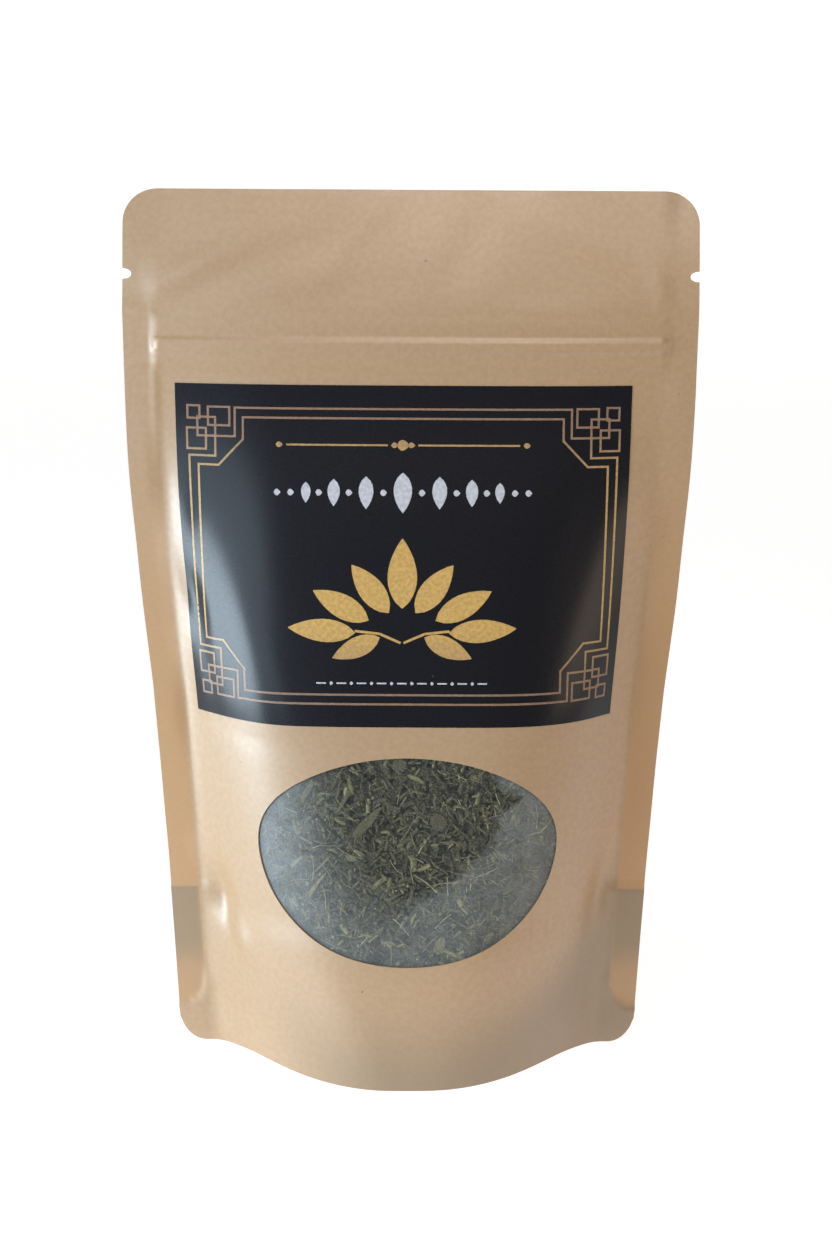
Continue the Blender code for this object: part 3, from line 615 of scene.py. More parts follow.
def gusset_middle(u, along):
    """Midway through the sheet: along goes from -1 at the front edge, by 0 at the fold, to 1 at the back edge."""
    sealed = np.clip(2 - 2 * np.abs(along), 0, 1)
    free = np.clip(1 - 2 * np.abs(along), 0, 1)
    into = np.clip((np.abs(u) - HALF_WIDTH + BOTTOM_CORNER_WIDTH) / BOTTOM_CORNER_WIDTH, 0, 0.95)
    start = BOTTOM_CORNER_HEIGHT * (1 - np.sqrt(1 - into**2))
    share = np.minimum(1, np.abs(u) / BELLY_HALF)
    top = SEAL_ARC_LOW + (SEAL_ARC_SIDE - SEAL_ARC_LOW) * share**SEAL_ARC_POWER
    v = PAPER_HEIGHT - start - (top - start) * sealed
    point = formed(u, v, -GUSSET_INSET)
    across = formed(u, np.full_like(u, GUSSET_TOP), 0.0)[:, 0]
    level = v + (GUSSET_TOP - v) * free
    dent = np.minimum(front_folds(u, level) - front_folds(u, v), 0)
    steepness = 1 + FOLD_STEEPNESS * share**FOLD_STEEPNESS_POWER
    gap = FOLD_HALF_GAP * np.minimum(np.abs(along) / 0.01, 1)
    y = np.minimum((point[:, 1] - dent) * (1 - free**steepness), -gap)
    x = point[:, 0] + (across - point[:, 0]) * free
    z = point[:, 2] + (fold_height(u) - point[:, 2]) * free
    return np.stack([x, -np.sign(along) * y, z], axis=-1)


def gusset_face(u, along, outwards):
    """A point this far from the middle of the sheet, towards the contents."""
    step, turn = 0.3 * MM, 0.004
    across = gusset_middle(np.minimum(u + step, GUSSET_EDGE), along)
    across -= gusset_middle(np.maximum(u - step, -GUSSET_EDGE), along)
    up = gusset_middle(u, np.clip(along + turn, -1, 1)) - gusset_middle(u, np.clip(along - turn, -1, 1))
    normal = np.cross(across, up)
    normal /= np.linalg.norm(normal, axis=-1, keepdims=True)
    return gusset_middle(u, along) + normal * outwards[:, None]


def gusset_material():
    made, tree, shader = new_material("kraft_gusset")
    place = node(tree, "ShaderNodeTexCoord").outputs["Object"]
    pulp = node(tree, "ShaderNodeGroup", {"Place": place}, node_tree=PULP)
    colour = blend(tree, between(tree, pulp.outputs["Pulp"], 0.35, 0.65), KRAFT_DARK, KRAFT_LIGHT)
    colour = blend(tree, sums(tree, "MULTIPLY", pulp.outputs["Specks"], 0.75), colour, KRAFT_SPECK)
    tree.links.new(colour, shader.inputs["Base Color"])
    shader.inputs["Roughness"].default_value = 0.46
    bump(tree, shader, pulp.outputs["Fibres"], 0.35, 0.03 * MM)
    return made


columns = lines((-GUSSET_EDGE, GUSSET_EDGE), (CELL,))
gusset = flat_plate("gusset_sheet", columns, lines((-1, -0.5, 0.5, 1), (0.02, 0.0154, 0.02)))
form(gusset, lambda u, along, w: gusset_face(u, along, LAMINATE * (w - 0.5)))
gusset.data.materials.append(gusset_material())
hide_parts("bottom_gusset")
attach(gusset, "root")

# The window film. Clear film laminated behind the window, a little wider than it. Leaf dust and haze make it
# blue-grey, except where the leaf presses against it. Towards the left the veil is thicker, partly haze and
# partly a painted reflection of the big light on the left.

FILM_FACE = -0.12 * MM
FILM = 0.12 * MM
FILM_MARGIN = 5 * MM
FILM_CELL = 0.7 * MM
PRESSED = [
    (-16, 118), (17, 118), (19.5, 129.5), (20.5, 133.5), (25.2, 135.2), (24.6, 136.8), (20.5, 138.5), (20, 142),
    (18.8, 147), (14, 150), (10.5, 154), (5.5, 157.5), (-2, 158.5), (-7.5, 154), (-11, 147), (-14, 138),
]


def outside_pressed(u, v):
    """How far a place on the paper is outside the patch where the leaf presses on the film; inside, below zero."""
    nearest = np.full(u.shape, np.inf)
    inside = np.zeros(u.shape, bool)
    corners = np.array(PRESSED) * MM
    for (a, b), (c, d) in zip(corners, np.roll(corners, -1, axis=0)):
        along = np.clip(((u - a) * (c - a) + (v - b) * (d - b)) / ((c - a) ** 2 + (d - b) ** 2), 0, 1)
        nearest = np.minimum(nearest, np.hypot(u - a - along * (c - a), v - b - along * (d - b)))
        crosses = (b > v) != (d > v)
        inside ^= crosses & (u < (c - a) * (v - b) / (d - b + 1e-12) + a)
    return np.where(inside, -nearest, nearest)


def stand_off(u, v):
    """How far the leaf lies behind the film."""
    return 0.5 * MM * smooth_step((outside_pressed(u, v) + 0.5 * MM) / (7 * MM))


def film_material():
    made, tree, shader = new_material("frosted_film")
    paper = attribute(tree, "paper")
    away = attribute(tree, "outside_pressed", "Fac")
    side = node(tree, "ShaderNodeSeparateXYZ", {0: paper}).outputs["X"]
    softness = between(tree, side, -12 * MM, 8 * MM, 14 * MM, 1.4 * MM)
    ragged = noise(tree, paper, 620.0, 4.0, 0.6)
    rough_edge = sums(tree, "ADD", away, between(tree, ragged, 0.3, 0.7, -1.3 * MM, 1.3 * MM))
    haze = sums(tree, "DIVIDE", sums(tree, "ADD", rough_edge, 0.3 * MM), softness, clamp=True)
    cloud = noise(tree, paper, 200.0, 5.0, 0.6)
    dust = between(tree, cloud, 0.3, 0.7, 0.085, 0.155)
    # Painted reflection: the veil is laid on thicker towards the left, partly as haze and partly standing in for the
    # reflection of the big light on the left.
    left = between(tree, side, -35 * MM, -14 * MM, 0.92, 0.42)
    right = between(tree, side, 16 * MM, 32 * MM, 0.0, 0.30)
    dust = sums(tree, "MULTIPLY", dust, sums(tree, "ADD", left, right))
    veil = sums(tree, "ADD", sums(tree, "MULTIPLY", haze, dust), 0.015, clamp=True)
    tree.links.new(veil, shader.inputs["Alpha"])
    shader.inputs["Base Color"].default_value = (0.84, 0.88, 0.88, 1)
    shader.inputs["Roughness"].default_value = 0.36
    shader.inputs["Specular IOR Level"].default_value = 0.6
    return made


columns = lines((-42 * MM, 42 * MM), (FILM_CELL,))
film = flat_plate("window_sheet", columns, lines((120 * MM, 182 * MM), (FILM_CELL,)))
combine(film, punch("film_punch", window_outline(FILM_MARGIN)), "INTERSECT")
form(film, lambda u, v, w: formed(u, v, FILM_FACE - FILM * (1 - w)))
away = outside_pressed(*paper_places(film.data))
film.data.attributes.new("outside_pressed", "FLOAT", "POINT").data.foreach_set("value", away)
film.data.materials.append(film_material())
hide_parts("window_film")
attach(film, "root")

# The label. A black satin sticker, 4 by 3 inches, laid on the front panel above the window and slightly to the
# left. It bends with the panel.

LABEL_LEFT = -52.3 * MM
LABEL_TOP = 43 * MM
LABEL_WIDTH = 101.6 * MM
LABEL_HEIGHT = 76.2 * MM
LABEL_THICKNESS = 0.12 * MM
LABEL_FACE = LAMINATE + 0.02 * MM


def label_material():
    made, tree, shader = new_material("black_sticker")
    paper = attribute(tree, "paper")
    grain = noise(tree, paper, 1500.0, 3.0)
    lint = cells(tree, paper, 90.0)
    speck = between(tree, lint, 0.012, 0.022, 1.0, 0.0)
    colour = blend(tree, grain, (0.0075, 0.0072, 0.0100), (0.0110, 0.0105, 0.0140))
    colour = blend(tree, sums(tree, "MULTIPLY", speck, 0.35), colour, (0.18, 0.17, 0.16))
    tree.links.new(colour, shader.inputs["Base Color"])
    tree.links.new(between(tree, grain, 0.3, 0.7, 0.27, 0.30), shader.inputs["Roughness"])
    shader.inputs["Specular IOR Level"].default_value = 0.36
    bump(tree, shader, grain, 0.15, 0.01 * MM)
    return made


columns = lines((LABEL_LEFT, LABEL_LEFT + LABEL_WIDTH), (CELL,))
label = flat_plate("label_sticker", columns, lines((LABEL_TOP, LABEL_TOP + LABEL_HEIGHT), (CELL,)))
form(label, lambda u, v, w: formed(u, v, LABEL_FACE + LABEL_THICKNESS * w))
label.data.materials.append(label_material())
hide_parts("label")
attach(label, "root")

# The label's frame. Two fine gold lines round the edge, which step in and knot with three squares at each corner,
# printed on the sticker. Each is laid as strokes on the label's own coordinates and bent with it.

INK = LABEL_FACE + LABEL_THICKNESS
INK_THICKNESS = 0.025 * MM
LINE = 0.48 * MM
OUTER_LINE = [(2.9, 38.1), (2.9, 16.1), (8.9, 16.1), (8.9, 7.4), (4.9, 7.4), (4.9, 11.6),
              (13.3, 11.6), (13.3, 5.2), (50.8, 5.2)]
INNER_LINE = [(5.0, 38.1), (5.0, 18.1), (9.6, 18.1), (15.1, 12.2), (15.1, 7.3), (50.8, 7.3)]
SQUARES = [(2.7, 4.9, 5.4, 7.7), (7.3, 5.1, 12.1, 9.2), (2.5, 9.9, 6.8, 14.6)]


def stroke(bm, start, end, width):
    """One straight stroke as a box, its ends square and half a line past its points."""
    start, end = Vector((*start, 0)), Vector((*end, 0))
    along = end - start
    straight = min(abs(along.x), abs(along.y)) < 1e-6
    box = bmesh.ops.create_cube(bm, size=1)["verts"]
    length = along.length + width * (1 if straight else 0.3)
    bmesh.ops.scale(bm, vec=(length, width, PLATE), verts=box)
    turn = Matrix.Rotation(math.atan2(along.y, along.x), 4, "Z")
    middle = (start + end) / 2 + Vector((0, 0, PLATE / 2))
    bmesh.ops.transform(bm, matrix=Matrix.Translation(middle) @ turn, verts=box)


def joined(pieces, name):
    """One solid from flat shapes that cross, given as functions that each draw one into a bmesh."""
    group = bpy.data.collections.new(name)
    bpy.context.scene.collection.children.link(group)
    first = None
    for draw in pieces:
        bm = bmesh.new()
        draw(bm)
        made = object_from(bm, name)
        if first is None:
            first = made
        else:
            bpy.context.scene.collection.objects.unlink(made)
            group.objects.link(made)
    modifier = first.modifiers.new("join", "BOOLEAN")
    modifier.operation = "UNION"
    modifier.operand_type = "COLLECTION"
    modifier.collection = group
    modifier.solver = "MANIFOLD"
    done = evaluated_mesh(first)
    first.modifiers.clear()
    first.data = done
    for made in list(group.objects):
        bpy.data.objects.remove(made, do_unlink=True)
    bpy.data.collections.remove(group)
    return first


def lay_on_label(piece, finish, pitch=1.6 * MM):
    """Cuts a flat print into short lengths, so that it can bend, and lays it on the label."""
    bm = bmesh.new()
    bm.from_mesh(piece.data)
    xs, ys = [v.co.x for v in bm.verts], [v.co.y for v in bm.verts]
    for axis, low, high in (((1, 0, 0), min(xs), max(xs)), ((0, 1, 0), min(ys), max(ys))):
        for at in np.arange(low + pitch, high, pitch):
            everything = bm.verts[:] + bm.edges[:] + bm.faces[:]
            bmesh.ops.bisect_plane(bm, geom=everything, plane_co=Vector(axis) * at, plane_no=axis)
    bm.to_mesh(piece.data)
    bm.free()
    form(piece, lambda u, v, w: formed(u, v, INK + INK_THICKNESS * w))
    piece.data.materials.append(finish)
    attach(piece, "root")


def on_label(x, y, flip_x=False, flip_y=False):
    """Millimetres from the label's top left corner, mirrored about its middle where asked, to the paper."""
    x = LABEL_WIDTH / MM - x if flip_x else x
    y = LABEL_HEIGHT / MM - y if flip_y else y
    return (LABEL_LEFT + x * MM, LABEL_TOP + y * MM)


def gold_material(name, pale, deep):
    """Printed gold: deeper and rosier on the runs across the top and bottom, paler down the sides."""
    made, tree, shader = new_material(name)
    paper = attribute(tree, "paper")
    down = node(tree, "ShaderNodeSeparateXYZ", {0: paper}).outputs["Y"]
    middle = LABEL_TOP + LABEL_HEIGHT / 2
    far = sums(tree, "ABSOLUTE", sums(tree, "SUBTRACT", down, middle))
    grain = noise(tree, paper, 1200.0, 2.0)
    colour = blend(tree, between(tree, far, 14 * MM, 30 * MM), pale, deep)
    shade = between(tree, grain, 0.3, 0.7, 0.85, 1.1)
    tree.links.new(shaded(tree, colour, shade), shader.inputs["Base Color"])
    shader.inputs["Roughness"].default_value = 0.4
    return made


def frame_strokes():
    strokes = []
    for flip_x in (False, True):
        for flip_y in (False, True):
            for line in (OUTER_LINE, INNER_LINE):
                points = [on_label(x, y, flip_x, flip_y) for x, y in line]
                strokes += list(zip(points, points[1:]))
            for left, top, right, low in SQUARES:
                corners = [(left, top), (right, top), (right, low), (left, low), (left, top)]
                points = [on_label(x, y, flip_x, flip_y) for x, y in corners]
                strokes += list(zip(points, points[1:]))
    return strokes


border = joined([lambda bm, s=s: stroke(bm, *s, LINE) for s in frame_strokes()], "label_frame")
lay_on_label(border, gold_material("printed_gold", (0.52, 0.33, 0.13), (0.28, 0.165, 0.105)))

# The rest of the print. Plain ornament: a fine gold rule, a pale band of pointed ovals and beads, a symmetrical
# spray of smooth gold leaves, and a short pale row of dots and dashes.


LABEL_MIDDLE = LABEL_WIDTH / MM / 2
RULE_ROW = 13.2


def leaf_shape(bm, base, angle, length, width, segments=8):
    """A pointed leaf, flat, from its base point and along its angle; it is fullest a little before its middle."""
    drawn = bmesh.ops.create_grid(bm, x_segments=segments, y_segments=4, size=0.5)["verts"]
    for vert in drawn:
        along = vert.co.x + 0.5
        full = math.sin(math.pi * along**0.85) ** 0.8 if 0 < along < 1 else 0.03
        vert.co = (along * length, vert.co.y * width * full, 0)
    faces = list({f for v in drawn for f in v.link_faces})
    top = raise_faces(bm, faces, PLATE)
    turn = Matrix.Translation((*base, 0)) @ Matrix.Rotation(math.radians(angle), 4, "Z")
    bmesh.ops.transform(bm, matrix=turn, verts=drawn + top)


def flat_print(name, draw):
    bm = bmesh.new()
    draw(bm)
    bmesh.ops.recalc_face_normals(bm, faces=bm.faces[:])
    return object_from(bm, name)


def rule(bm):
    for flip in (False, True):
        stroke(bm, on_label(25.0, RULE_ROW, flip), on_label(47.2, RULE_ROW, flip), 0.42 * MM)
        for x in (23.2, 48.9):
            base = on_label(x - 0.8 if not flip else x + 0.8, RULE_ROW, flip)
            leaf_shape(bm, base, 0, 1.6 * MM, 1.3 * MM, 4)
    leaf_shape(bm, on_label(LABEL_MIDDLE - 1.4, RULE_ROW), 0, 2.8 * MM, 2.4 * MM, 6)


def pale_band(bm):
    row = 23.8
    for place, tall in ((0, 9.0), (8.2, 7.2), (15.4, 6.0), (21.6, 4.6)):
        for sign in (-1, 1) if place else (1,):
            leaf_shape(bm, on_label(LABEL_MIDDLE + sign * place, row - tall / 2), 90, tall * MM, tall * 0.46 * MM, 8)
    for place in (4.3, 12.0, 18.7, 25.0, 28.0):
        for sign in (-1, 1):
            leaf_shape(bm, on_label(LABEL_MIDDLE + sign * place - 0.75, row), 0, 1.5 * MM, 1.5 * MM, 6)


def dots_and_dashes(bm):
    row = 66.3
    for place in np.arange(-18, 18.1, 4.5):
        stroke(bm, on_label(LABEL_MIDDLE + place - 0.9, row), on_label(LABEL_MIDDLE + place + 0.9, row), 0.34 * MM)
        if place < 17:
            leaf_shape(bm, on_label(LABEL_MIDDLE + place + 1.85, row), 0, 0.8 * MM, 0.8 * MM, 4)


def spray(bm):
    leaf_shape(bm, on_label(LABEL_MIDDLE, 49.5), -90, 15.5 * MM, 6.6 * MM, 12)
    for sign in (-1, 1):
        for x, y, angle, length, width in (
            (3.0, 50.5, 52, 13.5, 5.6), (7.5, 52.2, 28, 14.0, 5.4),
            (10.5, 55.0, 4, 15.0, 5.2), (5.0, 56.0, -24, 11.5, 4.6),
        ):
            heading = -angle if sign > 0 else angle - 180
            leaf_shape(bm, on_label(LABEL_MIDDLE + sign * x, y), heading, length * MM, width * MM, 10)
        for a, b in (((0.4, 57.2), (5.0, 55.2)), ((5.0, 55.2), (10.5, 54.6))):
            stroke(bm, on_label(LABEL_MIDDLE + sign * a[0], a[1]), on_label(LABEL_MIDDLE + sign * b[0], b[1]), 0.55 * MM)


PALE = gold_material("printed_pale", (0.55, 0.54, 0.58), (0.55, 0.54, 0.58))
GOLD = gold_material("printed_leaf_gold", (0.60, 0.36, 0.11), (0.40, 0.24, 0.12))
for name, draw, finish in (
    ("label_rule", rule, GOLD), ("label_band", pale_band, PALE),
    ("label_spray", spray, GOLD), ("label_dots", dots_and_dashes, PALE),
):
    lay_on_label(flat_print(name, draw), finish)

# The zip. Two translucent strips welded inside the panels, one with a rib and one with a groove. The frame's own
# solids have their shape.


def zip_material():
    made, tree, shader = new_material("zip_plastic")
    place = node(tree, "ShaderNodeTexCoord").outputs["Object"]
    wave = {"Vector": place, "Scale": 900.0, "Distortion": 0.4}
    streaks = node(tree, "ShaderNodeTexWave", wave, bands_direction="Z").outputs["Fac"]
    tree.links.new(between(tree, streaks, 0.0, 1.0, 0.30, 0.42), shader.inputs["Roughness"])
    shader.inputs["Base Color"].default_value = (0.72, 0.72, 0.69, 1)
    return made


for strip in ("zip_rib", "zip_groove"):
    for place in frame["nodes"][strip].material_slots:
        place.material = zip_material()

# The dried leaf. Lemon balm, dried and crumbled: a dark heap that fills the pouch, and on it, where the window
# shows them, flat chips, curled strips, stalks and dust.

HEAP_TOP = 100 * MM
HEAP_INSET = 3.6 * MM
CRUMB_GAP = 0.03 * MM
SEED = 7


def heap_surface(t, down, w):
    """The heap fills the pouch from its filling line down to the gusset's fold; down goes from 0 to 1."""
    u = t * (BELLY_HALF - 1.5 * MM)
    lowest = np.interp(POUCH_HEIGHT - fold_height(u) - 2 * MM, FORM["fall"], FORM["down"])
    v = HEAP_TOP + (lowest - HEAP_TOP) * down
    point = formed(u, v, -HEAP_INSET)
    bumps = 0.45 * MM * np.sin(u / (1.9 * MM) + np.sin(v / (2.3 * MM))) * np.sin(v / (1.7 * MM))
    ply = np.where(v > GUSSET_TOP, PLY_STEP, 0)
    y = np.minimum(point[:, 1] + ply + bumps, -0.8 * MM)
    return np.stack([point[:, 0], np.where(w > 0.5, y, -y), point[:, 2]], axis=-1)


def leaf_material(name, dark, middle, pale):
    """Dried leaf, from nearly black green to the grey-green of its underside, with its own tone on each crumb."""
    made, tree, shader = new_material(name)
    place = node(tree, "ShaderNodeTexCoord").outputs["Object"]
    tone = attribute(tree, "tone", "Fac")
    fine = noise(tree, place, 1800.0, 4.0, 0.7)
    veins = cells(tree, place, 1500.0, "DISTANCE_TO_EDGE")
    level = sums(tree, "ADD", tone, between(tree, fine, 0.3, 0.7, -0.12, 0.12))
    colour = blend(tree, between(tree, level, 0.0, 0.55), dark, middle)
    colour = blend(tree, between(tree, level, 0.55, 1.0), colour, pale)
    colour = blend(tree, between(tree, veins, 0.02, 0.10, 0.35, 0.0), colour, pale)
    tree.links.new(colour, shader.inputs["Base Color"])
    shader.inputs["Roughness"].default_value = 0.78
    bump(tree, shader, fine, 0.5, 0.08 * MM)
    return made


LEAF_DARK, LEAF_MIDDLE, LEAF_PALE = (0.012, 0.009, 0.004), (0.048, 0.040, 0.017), (0.22, 0.205, 0.088)
HERB = leaf_material("crumbled_leaf", LEAF_DARK, LEAF_MIDDLE, LEAF_PALE)
STALK = leaf_material("dried_stalk", (0.05, 0.04, 0.02), (0.15, 0.13, 0.07), (0.36, 0.33, 0.20))

heap = flat_plate("leaf_heap", lines((-0.94, 0.94), (0.027,)), lines((0, 1), (0.018,)))
form(heap, heap_surface)
heap.data.attributes.new("tone", "FLOAT", "POINT").data.foreach_set("value", [0.1] * len(heap.data.vertices))
heap.data.materials.append(HERB)
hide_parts("dried_leaf")
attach(heap, "root")


def chip(rng):
    """A flat irregular bit of leaf, slightly cupped."""
    bm = bmesh.new()
    bmesh.ops.create_grid(bm, x_segments=2, y_segments=2, size=0.5)
    for vert in bm.verts:
        edge = max(abs(vert.co.x), abs(vert.co.y)) > 0.4
        corner = abs(vert.co.x) > 0.4 and abs(vert.co.y) > 0.4
        pull = rng.uniform(0.55, 0.95) if corner else rng.uniform(0.8, 1.15)
        if edge:
            vert.co.x *= pull
            vert.co.y *= pull
        vert.co.z = 0.35 * (vert.co.x**2 - 0.4 * vert.co.y**2) + rng.uniform(-0.05, 0.05)
    return bm


def curl(rng):
    """A strip of leaf rolled along its length as it dried."""
    bm = bmesh.new()
    bmesh.ops.create_grid(bm, x_segments=3, y_segments=3, size=0.5)
    bow = rng.uniform(0.15, 0.45)
    roll = rng.uniform(1.2, 2.6)
    for vert in bm.verts:
        x, y = vert.co.x, vert.co.y
        narrow = 1 - 1.3 * abs(x) ** 2 * rng.uniform(0.6, 1.2)
        angle = y * roll * 2
        radius = 0.5 / roll
        bowed = radius * math.sin(angle) * narrow + bow * x * x
        vert.co = (x * 1.5, bowed, radius * (math.cos(angle) - 1) * narrow + 0.1 * x)
    return bm


def stalk(rng):
    bm = bmesh.new()
    bmesh.ops.create_cone(bm, cap_ends=True, segments=5, radius1=0.055, radius2=0.04, depth=2.0)
    bmesh.ops.rotate(bm, matrix=Matrix.Rotation(math.radians(90), 3, "Y"), verts=bm.verts[:])
    edges = [e for e in bm.edges if abs(e.verts[0].co.x - e.verts[1].co.x) > 0.5]
    bmesh.ops.subdivide_edges(bm, edges=edges, cuts=3)
    bend = rng.uniform(-0.25, 0.25)
    for vert in bm.verts:
        vert.co.y += bend * vert.co.x**2
        vert.co.z += 0.5 * bend * math.sin(2 * vert.co.x)
    return bm


def shapes(make, count, thick, rng):
    """A handful of different meshes of one kind, given their thickness."""
    meshes = []
    for number in range(count):
        bm = make(rng)
        if thick:
            raise_faces(bm, bm.faces[:], thick)
        bmesh.ops.recalc_face_normals(bm, faces=bm.faces[:])
        mesh = bpy.data.meshes.new(f"{make.__name__}_{number}")
        bm.to_mesh(mesh)
        bm.free()
        mesh.attributes.new("tone", "FLOAT", "POINT")
        meshes.append(mesh)
    return meshes


def scattered(count, rng, margin):
    """Places over the window and a little past its edge."""
    places = []
    while len(places) < count:
        u = rng.uniform(-1, 1) * (WINDOW_HALF_WIDTH + margin)
        v = rng.uniform(WINDOW_WIDEST - WINDOW_RISE - margin, WINDOW_WIDEST + WINDOW_DROP + margin)
        tall = (WINDOW_DROP if v > WINDOW_WIDEST else WINDOW_RISE) + margin
        if (u / (WINDOW_HALF_WIDTH + margin)) ** 2 + ((v - WINDOW_WIDEST) / tall) ** 2 < 1:
            places.append((u, v))
    return np.array(places)


def frames_at(places):
    """On the film's inner face at each place: the point, and the directions across, down and out."""
    u, v = places[:, 0], places[:, 1]
    face = np.full(len(u), FILM_FACE - FILM)
    point = formed(u, v, face)
    across = formed(u + 0.4 * MM, v, face) - point
    down = formed(u, v + 0.4 * MM, face) - point
    across /= np.linalg.norm(across, axis=1, keepdims=True)
    down -= across * (down * across).sum(1, keepdims=True)
    down /= np.linalg.norm(down, axis=1, keepdims=True)
    return point, across, down, np.cross(down, across)


def scatter(name, meshes, places, rng, size, tilt, depth, tones, finish):
    """One piece of many crumbs: each is turned, tilted and moved back until it clears the film by its depth."""
    points, acrosses, downs, outs = frames_at(places)
    off = stand_off(places[:, 0], places[:, 1])
    bm = bmesh.new()
    for point, across, down, out, away in zip(points, acrosses, downs, outs, off):
        mesh = rng.choice(meshes).copy()
        basis = Matrix((across, down, out)).transposed().to_4x4()
        scale = rng.uniform(*size) * MM
        lean = math.radians(rng.uniform(-1, 1) * tilt)
        turn = Matrix.Rotation(rng.uniform(0, 2 * math.pi), 4, "Z") @ Matrix.Rotation(lean, 4, "X")
        turn = turn @ Matrix.Rotation(math.radians(rng.uniform(-1, 1) * tilt), 4, "Y")
        shape = turn @ Matrix.Diagonal((scale, scale * rng.uniform(0.55, 1.0), scale * 0.9, 1))
        mesh.transform(shape)
        top = max(v.co.z for v in mesh.vertices)
        back = top + away + rng.uniform(*depth) * MM + CRUMB_GAP
        mesh.transform(Matrix.Translation(Vector(point) - Vector(out) * back) @ basis)
        low, high = tones
        value = low + (high - low) * rng.random() ** 1.7
        mesh.attributes["tone"].data.foreach_set("value", [value] * len(mesh.vertices))
        bm.from_mesh(mesh)
        bpy.data.meshes.remove(mesh)
    piece = object_from(bm, name)
    piece.data.materials.append(finish)
    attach(piece, "root")


rng = random.Random(SEED)
CHIPS = shapes(chip, 14, 0.05, rng)
CURLS = shapes(curl, 14, 0.04, rng)
STALKS = shapes(stalk, 6, 0, rng)
for name, kinds, count, margin, size, tilt, depth, tones, finish in (
    ("leaf_deep", CHIPS, 2200, 3, (1.8, 3.6), 55, (0.9, 1.9), (0.0, 0.30), HERB),
    ("leaf_chips", CHIPS, 2000, 2, (1.0, 2.8), 34, (0.3, 1.1), (0.0, 0.60), HERB),
    ("leaf_curls", CURLS, 1900, 2, (0.9, 2.5), 30, (0.0, 0.45), (0.25, 0.9), HERB),
    ("leaf_stalks", STALKS, 200, 2, (1.2, 3.4), 14, (0.0, 0.4), (0.4, 1.0), STALK),
    ("leaf_dust", CHIPS, 1600, 2, (0.3, 0.8), 30, (0.0, 0.5), (0.1, 0.9), HERB),
):
    scatter(name, kinds, scattered(count, rng, margin * MM), rng, size, tilt, depth, tones, finish)


def large_bits():
    """The few larger bits that lie flat on the film, one by one: a strip, a round scrap, two chips and some shreds.
    """
    bm = bmesh.new()
    for u, v, angle, length, width, tone in (
        (-9.1, 141.3, -48, 9.0, 1.9, 0.60), (7.0, 141.0, 30, 3.4, 3.2, 0.42), (7.6, 169.6, -68, 4.2, 2.0, 0.72),
        (-2.0, 128.0, 20, 3.2, 2.6, 0.46), (1.6, 131.0, 22, 4.0, 1.0, 0.78), (-13.0, 133.0, 75, 4.2, 0.8, 0.75),
        (-20.8, 156.0, -52, 5.0, 0.6, 0.85), (-21.4, 157.2, -58, 4.6, 0.6, 0.80), (-19.6, 151.4, -50, 5.2, 0.5, 0.75),
        (-20.0, 155.0, -55, 4.0, 0.5, 0.70), (-14.5, 136.5, -62, 6.5, 0.8, 0.62), (-23.0, 134.5, -58, 6.0, 1.2, 0.60),
    ):
        mesh = rng.choice(CHIPS).copy()
        point, across, down, out = (item[0] for item in frames_at(np.array([[u, v]]) * MM))
        turn = Matrix.Rotation(math.radians(angle), 4, "Z")
        size = Matrix.Diagonal((length * 1.15 * MM, width * 1.15 * MM, min(length, width) * 0.4 * MM, 1))
        mesh.transform(turn @ size)
        back = max(vert.co.z for vert in mesh.vertices) + CRUMB_GAP
        basis = Matrix((across, down, out)).transposed().to_4x4()
        mesh.transform(Matrix.Translation(Vector(point) - Vector(out) * back) @ basis)
        mesh.attributes["tone"].data.foreach_set("value", [tone] * len(mesh.vertices))
        bm.from_mesh(mesh)
        bpy.data.meshes.remove(mesh)
    return object_from(bm, "leaf_bits")


bits = large_bits()
bits.data.materials.append(HERB)
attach(bits, "root")

# The studio. A white table and backdrop, and a plain grey floor in front of them. A big soft window light comes
# from the front left, with a low one beside it, a small top light and a warm one on the right.

IMAGE_HEIGHT = 1248
LENS_PIXELS = 1800
SENSOR = 36
CAMERA_DISTANCE = 400.9 * MM
CAMERA_HEIGHT = 207.6 * MM
CAMERA_PITCH = math.radians(14.51)
CAMERA_ROLL = math.radians(0.35)
CAMERA_RIGHT = 1.6 * MM
TABLE_FRONT = 0.1
STAGE_HALF = 3
BACKDROP_DISTANCE = 2.9


def stage_plane(name, segments, middle, turn=0):
    bm = bmesh.new()
    bmesh.ops.create_grid(bm, x_segments=segments, y_segments=segments, size=STAGE_HALF)
    bmesh.ops.rotate(bm, matrix=Matrix.Rotation(math.radians(turn), 3, "X"), verts=bm.verts[:])
    bmesh.ops.translate(bm, vec=(0, middle, 0), verts=bm.verts[:])
    return object_from(bm, name)


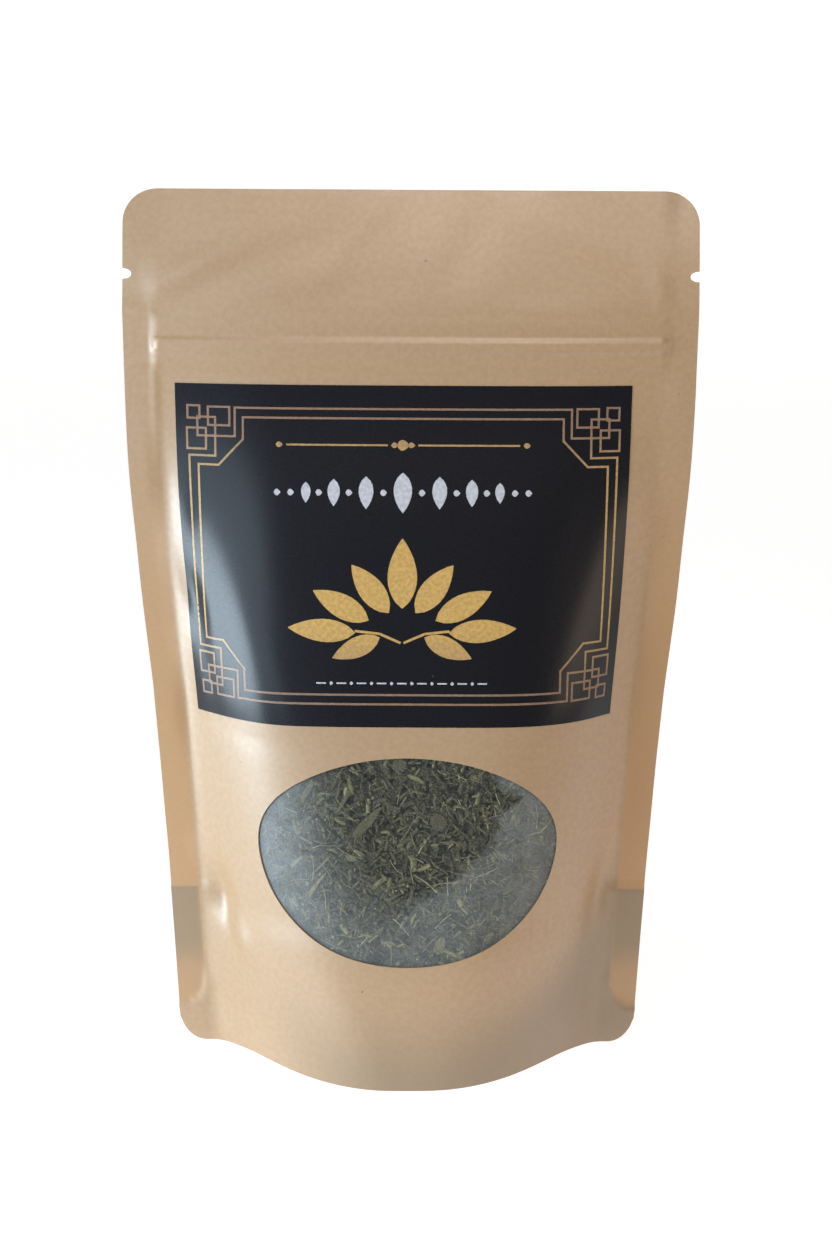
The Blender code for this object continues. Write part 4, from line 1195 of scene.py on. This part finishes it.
table = stage_plane("table_top", 4, STAGE_HALF - TABLE_FRONT)
backdrop = stage_plane("backdrop", 1, BACKDROP_DISTANCE, 90)
floor = stage_plane("floor_front", 4, -STAGE_HALF - TABLE_FRONT)
white, _, shader = new_material("studio_white")
shader.inputs["Base Color"].default_value = (0.4, 0.4, 0.4, 1)
shader.inputs["Roughness"].default_value = 1
shader.inputs["Specular IOR Level"].default_value = 0
shader.inputs["Emission Color"].default_value = (1, 1, 1, 1)
shader.inputs["Emission Strength"].default_value = 0.86
for thing in (table, backdrop):
    thing.data.materials.append(white)
pale, _, shader = new_material("studio_pale")
shader.inputs["Base Color"].default_value = (0.30, 0.30, 0.30, 1)
shader.inputs["Roughness"].default_value = 1
floor.data.materials.append(pale)


def area_light(name, position, target, size, power, colour=(1, 1, 1)):
    light = bpy.data.lights.new(name, "AREA")
    light.shape = "RECTANGLE"
    light.size, light.size_y = size
    light.energy = power
    light.color = colour
    made = bpy.data.objects.new(name, light)
    made.location = position
    made.rotation_euler = (Vector(target) - Vector(position)).to_track_quat("-Z", "Y").to_euler()
    bpy.context.scene.collection.objects.link(made)


area_light("window_light", (-0.75, -0.67, 0.27), (0, 0, 0.10), (1.10, 0.95), 10.2, (0.66, 0.83, 1.0))
area_light("low_window_light", (-0.34, -0.15, 0.06), (0, 0, 0.02), (0.18, 0.12), 1.15, (0.72, 0.88, 1.0))
area_light("top_light", (0.03, -0.24, 0.43), (0, 0, 0.16), (0.12, 0.12), 0.42, (1.0, 0.90, 0.78))
area_light("right_light", (0.55, -0.30, 0.12), (0, 0, 0.09), (0.4, 0.3), 0.9, (1.0, 0.84, 0.66))

world = bpy.data.worlds.new("studio_air")
world.use_nodes = True
world.node_tree.nodes["Background"].inputs["Color"].default_value = (0.120, 0.108, 0.092, 1)
bpy.context.scene.world = world
bpy.context.scene.view_settings.view_transform = "Standard"

lens = bpy.data.cameras.new("photo_camera")
lens.sensor_width = SENSOR
lens.lens = LENS_PIXELS / IMAGE_HEIGHT * SENSOR
lens.clip_start = 0.01
camera = bpy.data.objects.new("photo_camera", lens)
camera.location = (CAMERA_RIGHT, -CAMERA_DISTANCE, CAMERA_HEIGHT)
level = Matrix.Rotation(math.radians(90) - CAMERA_PITCH, 3, "X")
camera.rotation_euler = (level @ Matrix.Rotation(CAMERA_ROLL, 3, "Z")).to_euler()
bpy.context.scene.collection.objects.link(camera)
bpy.context.scene.camera = camera
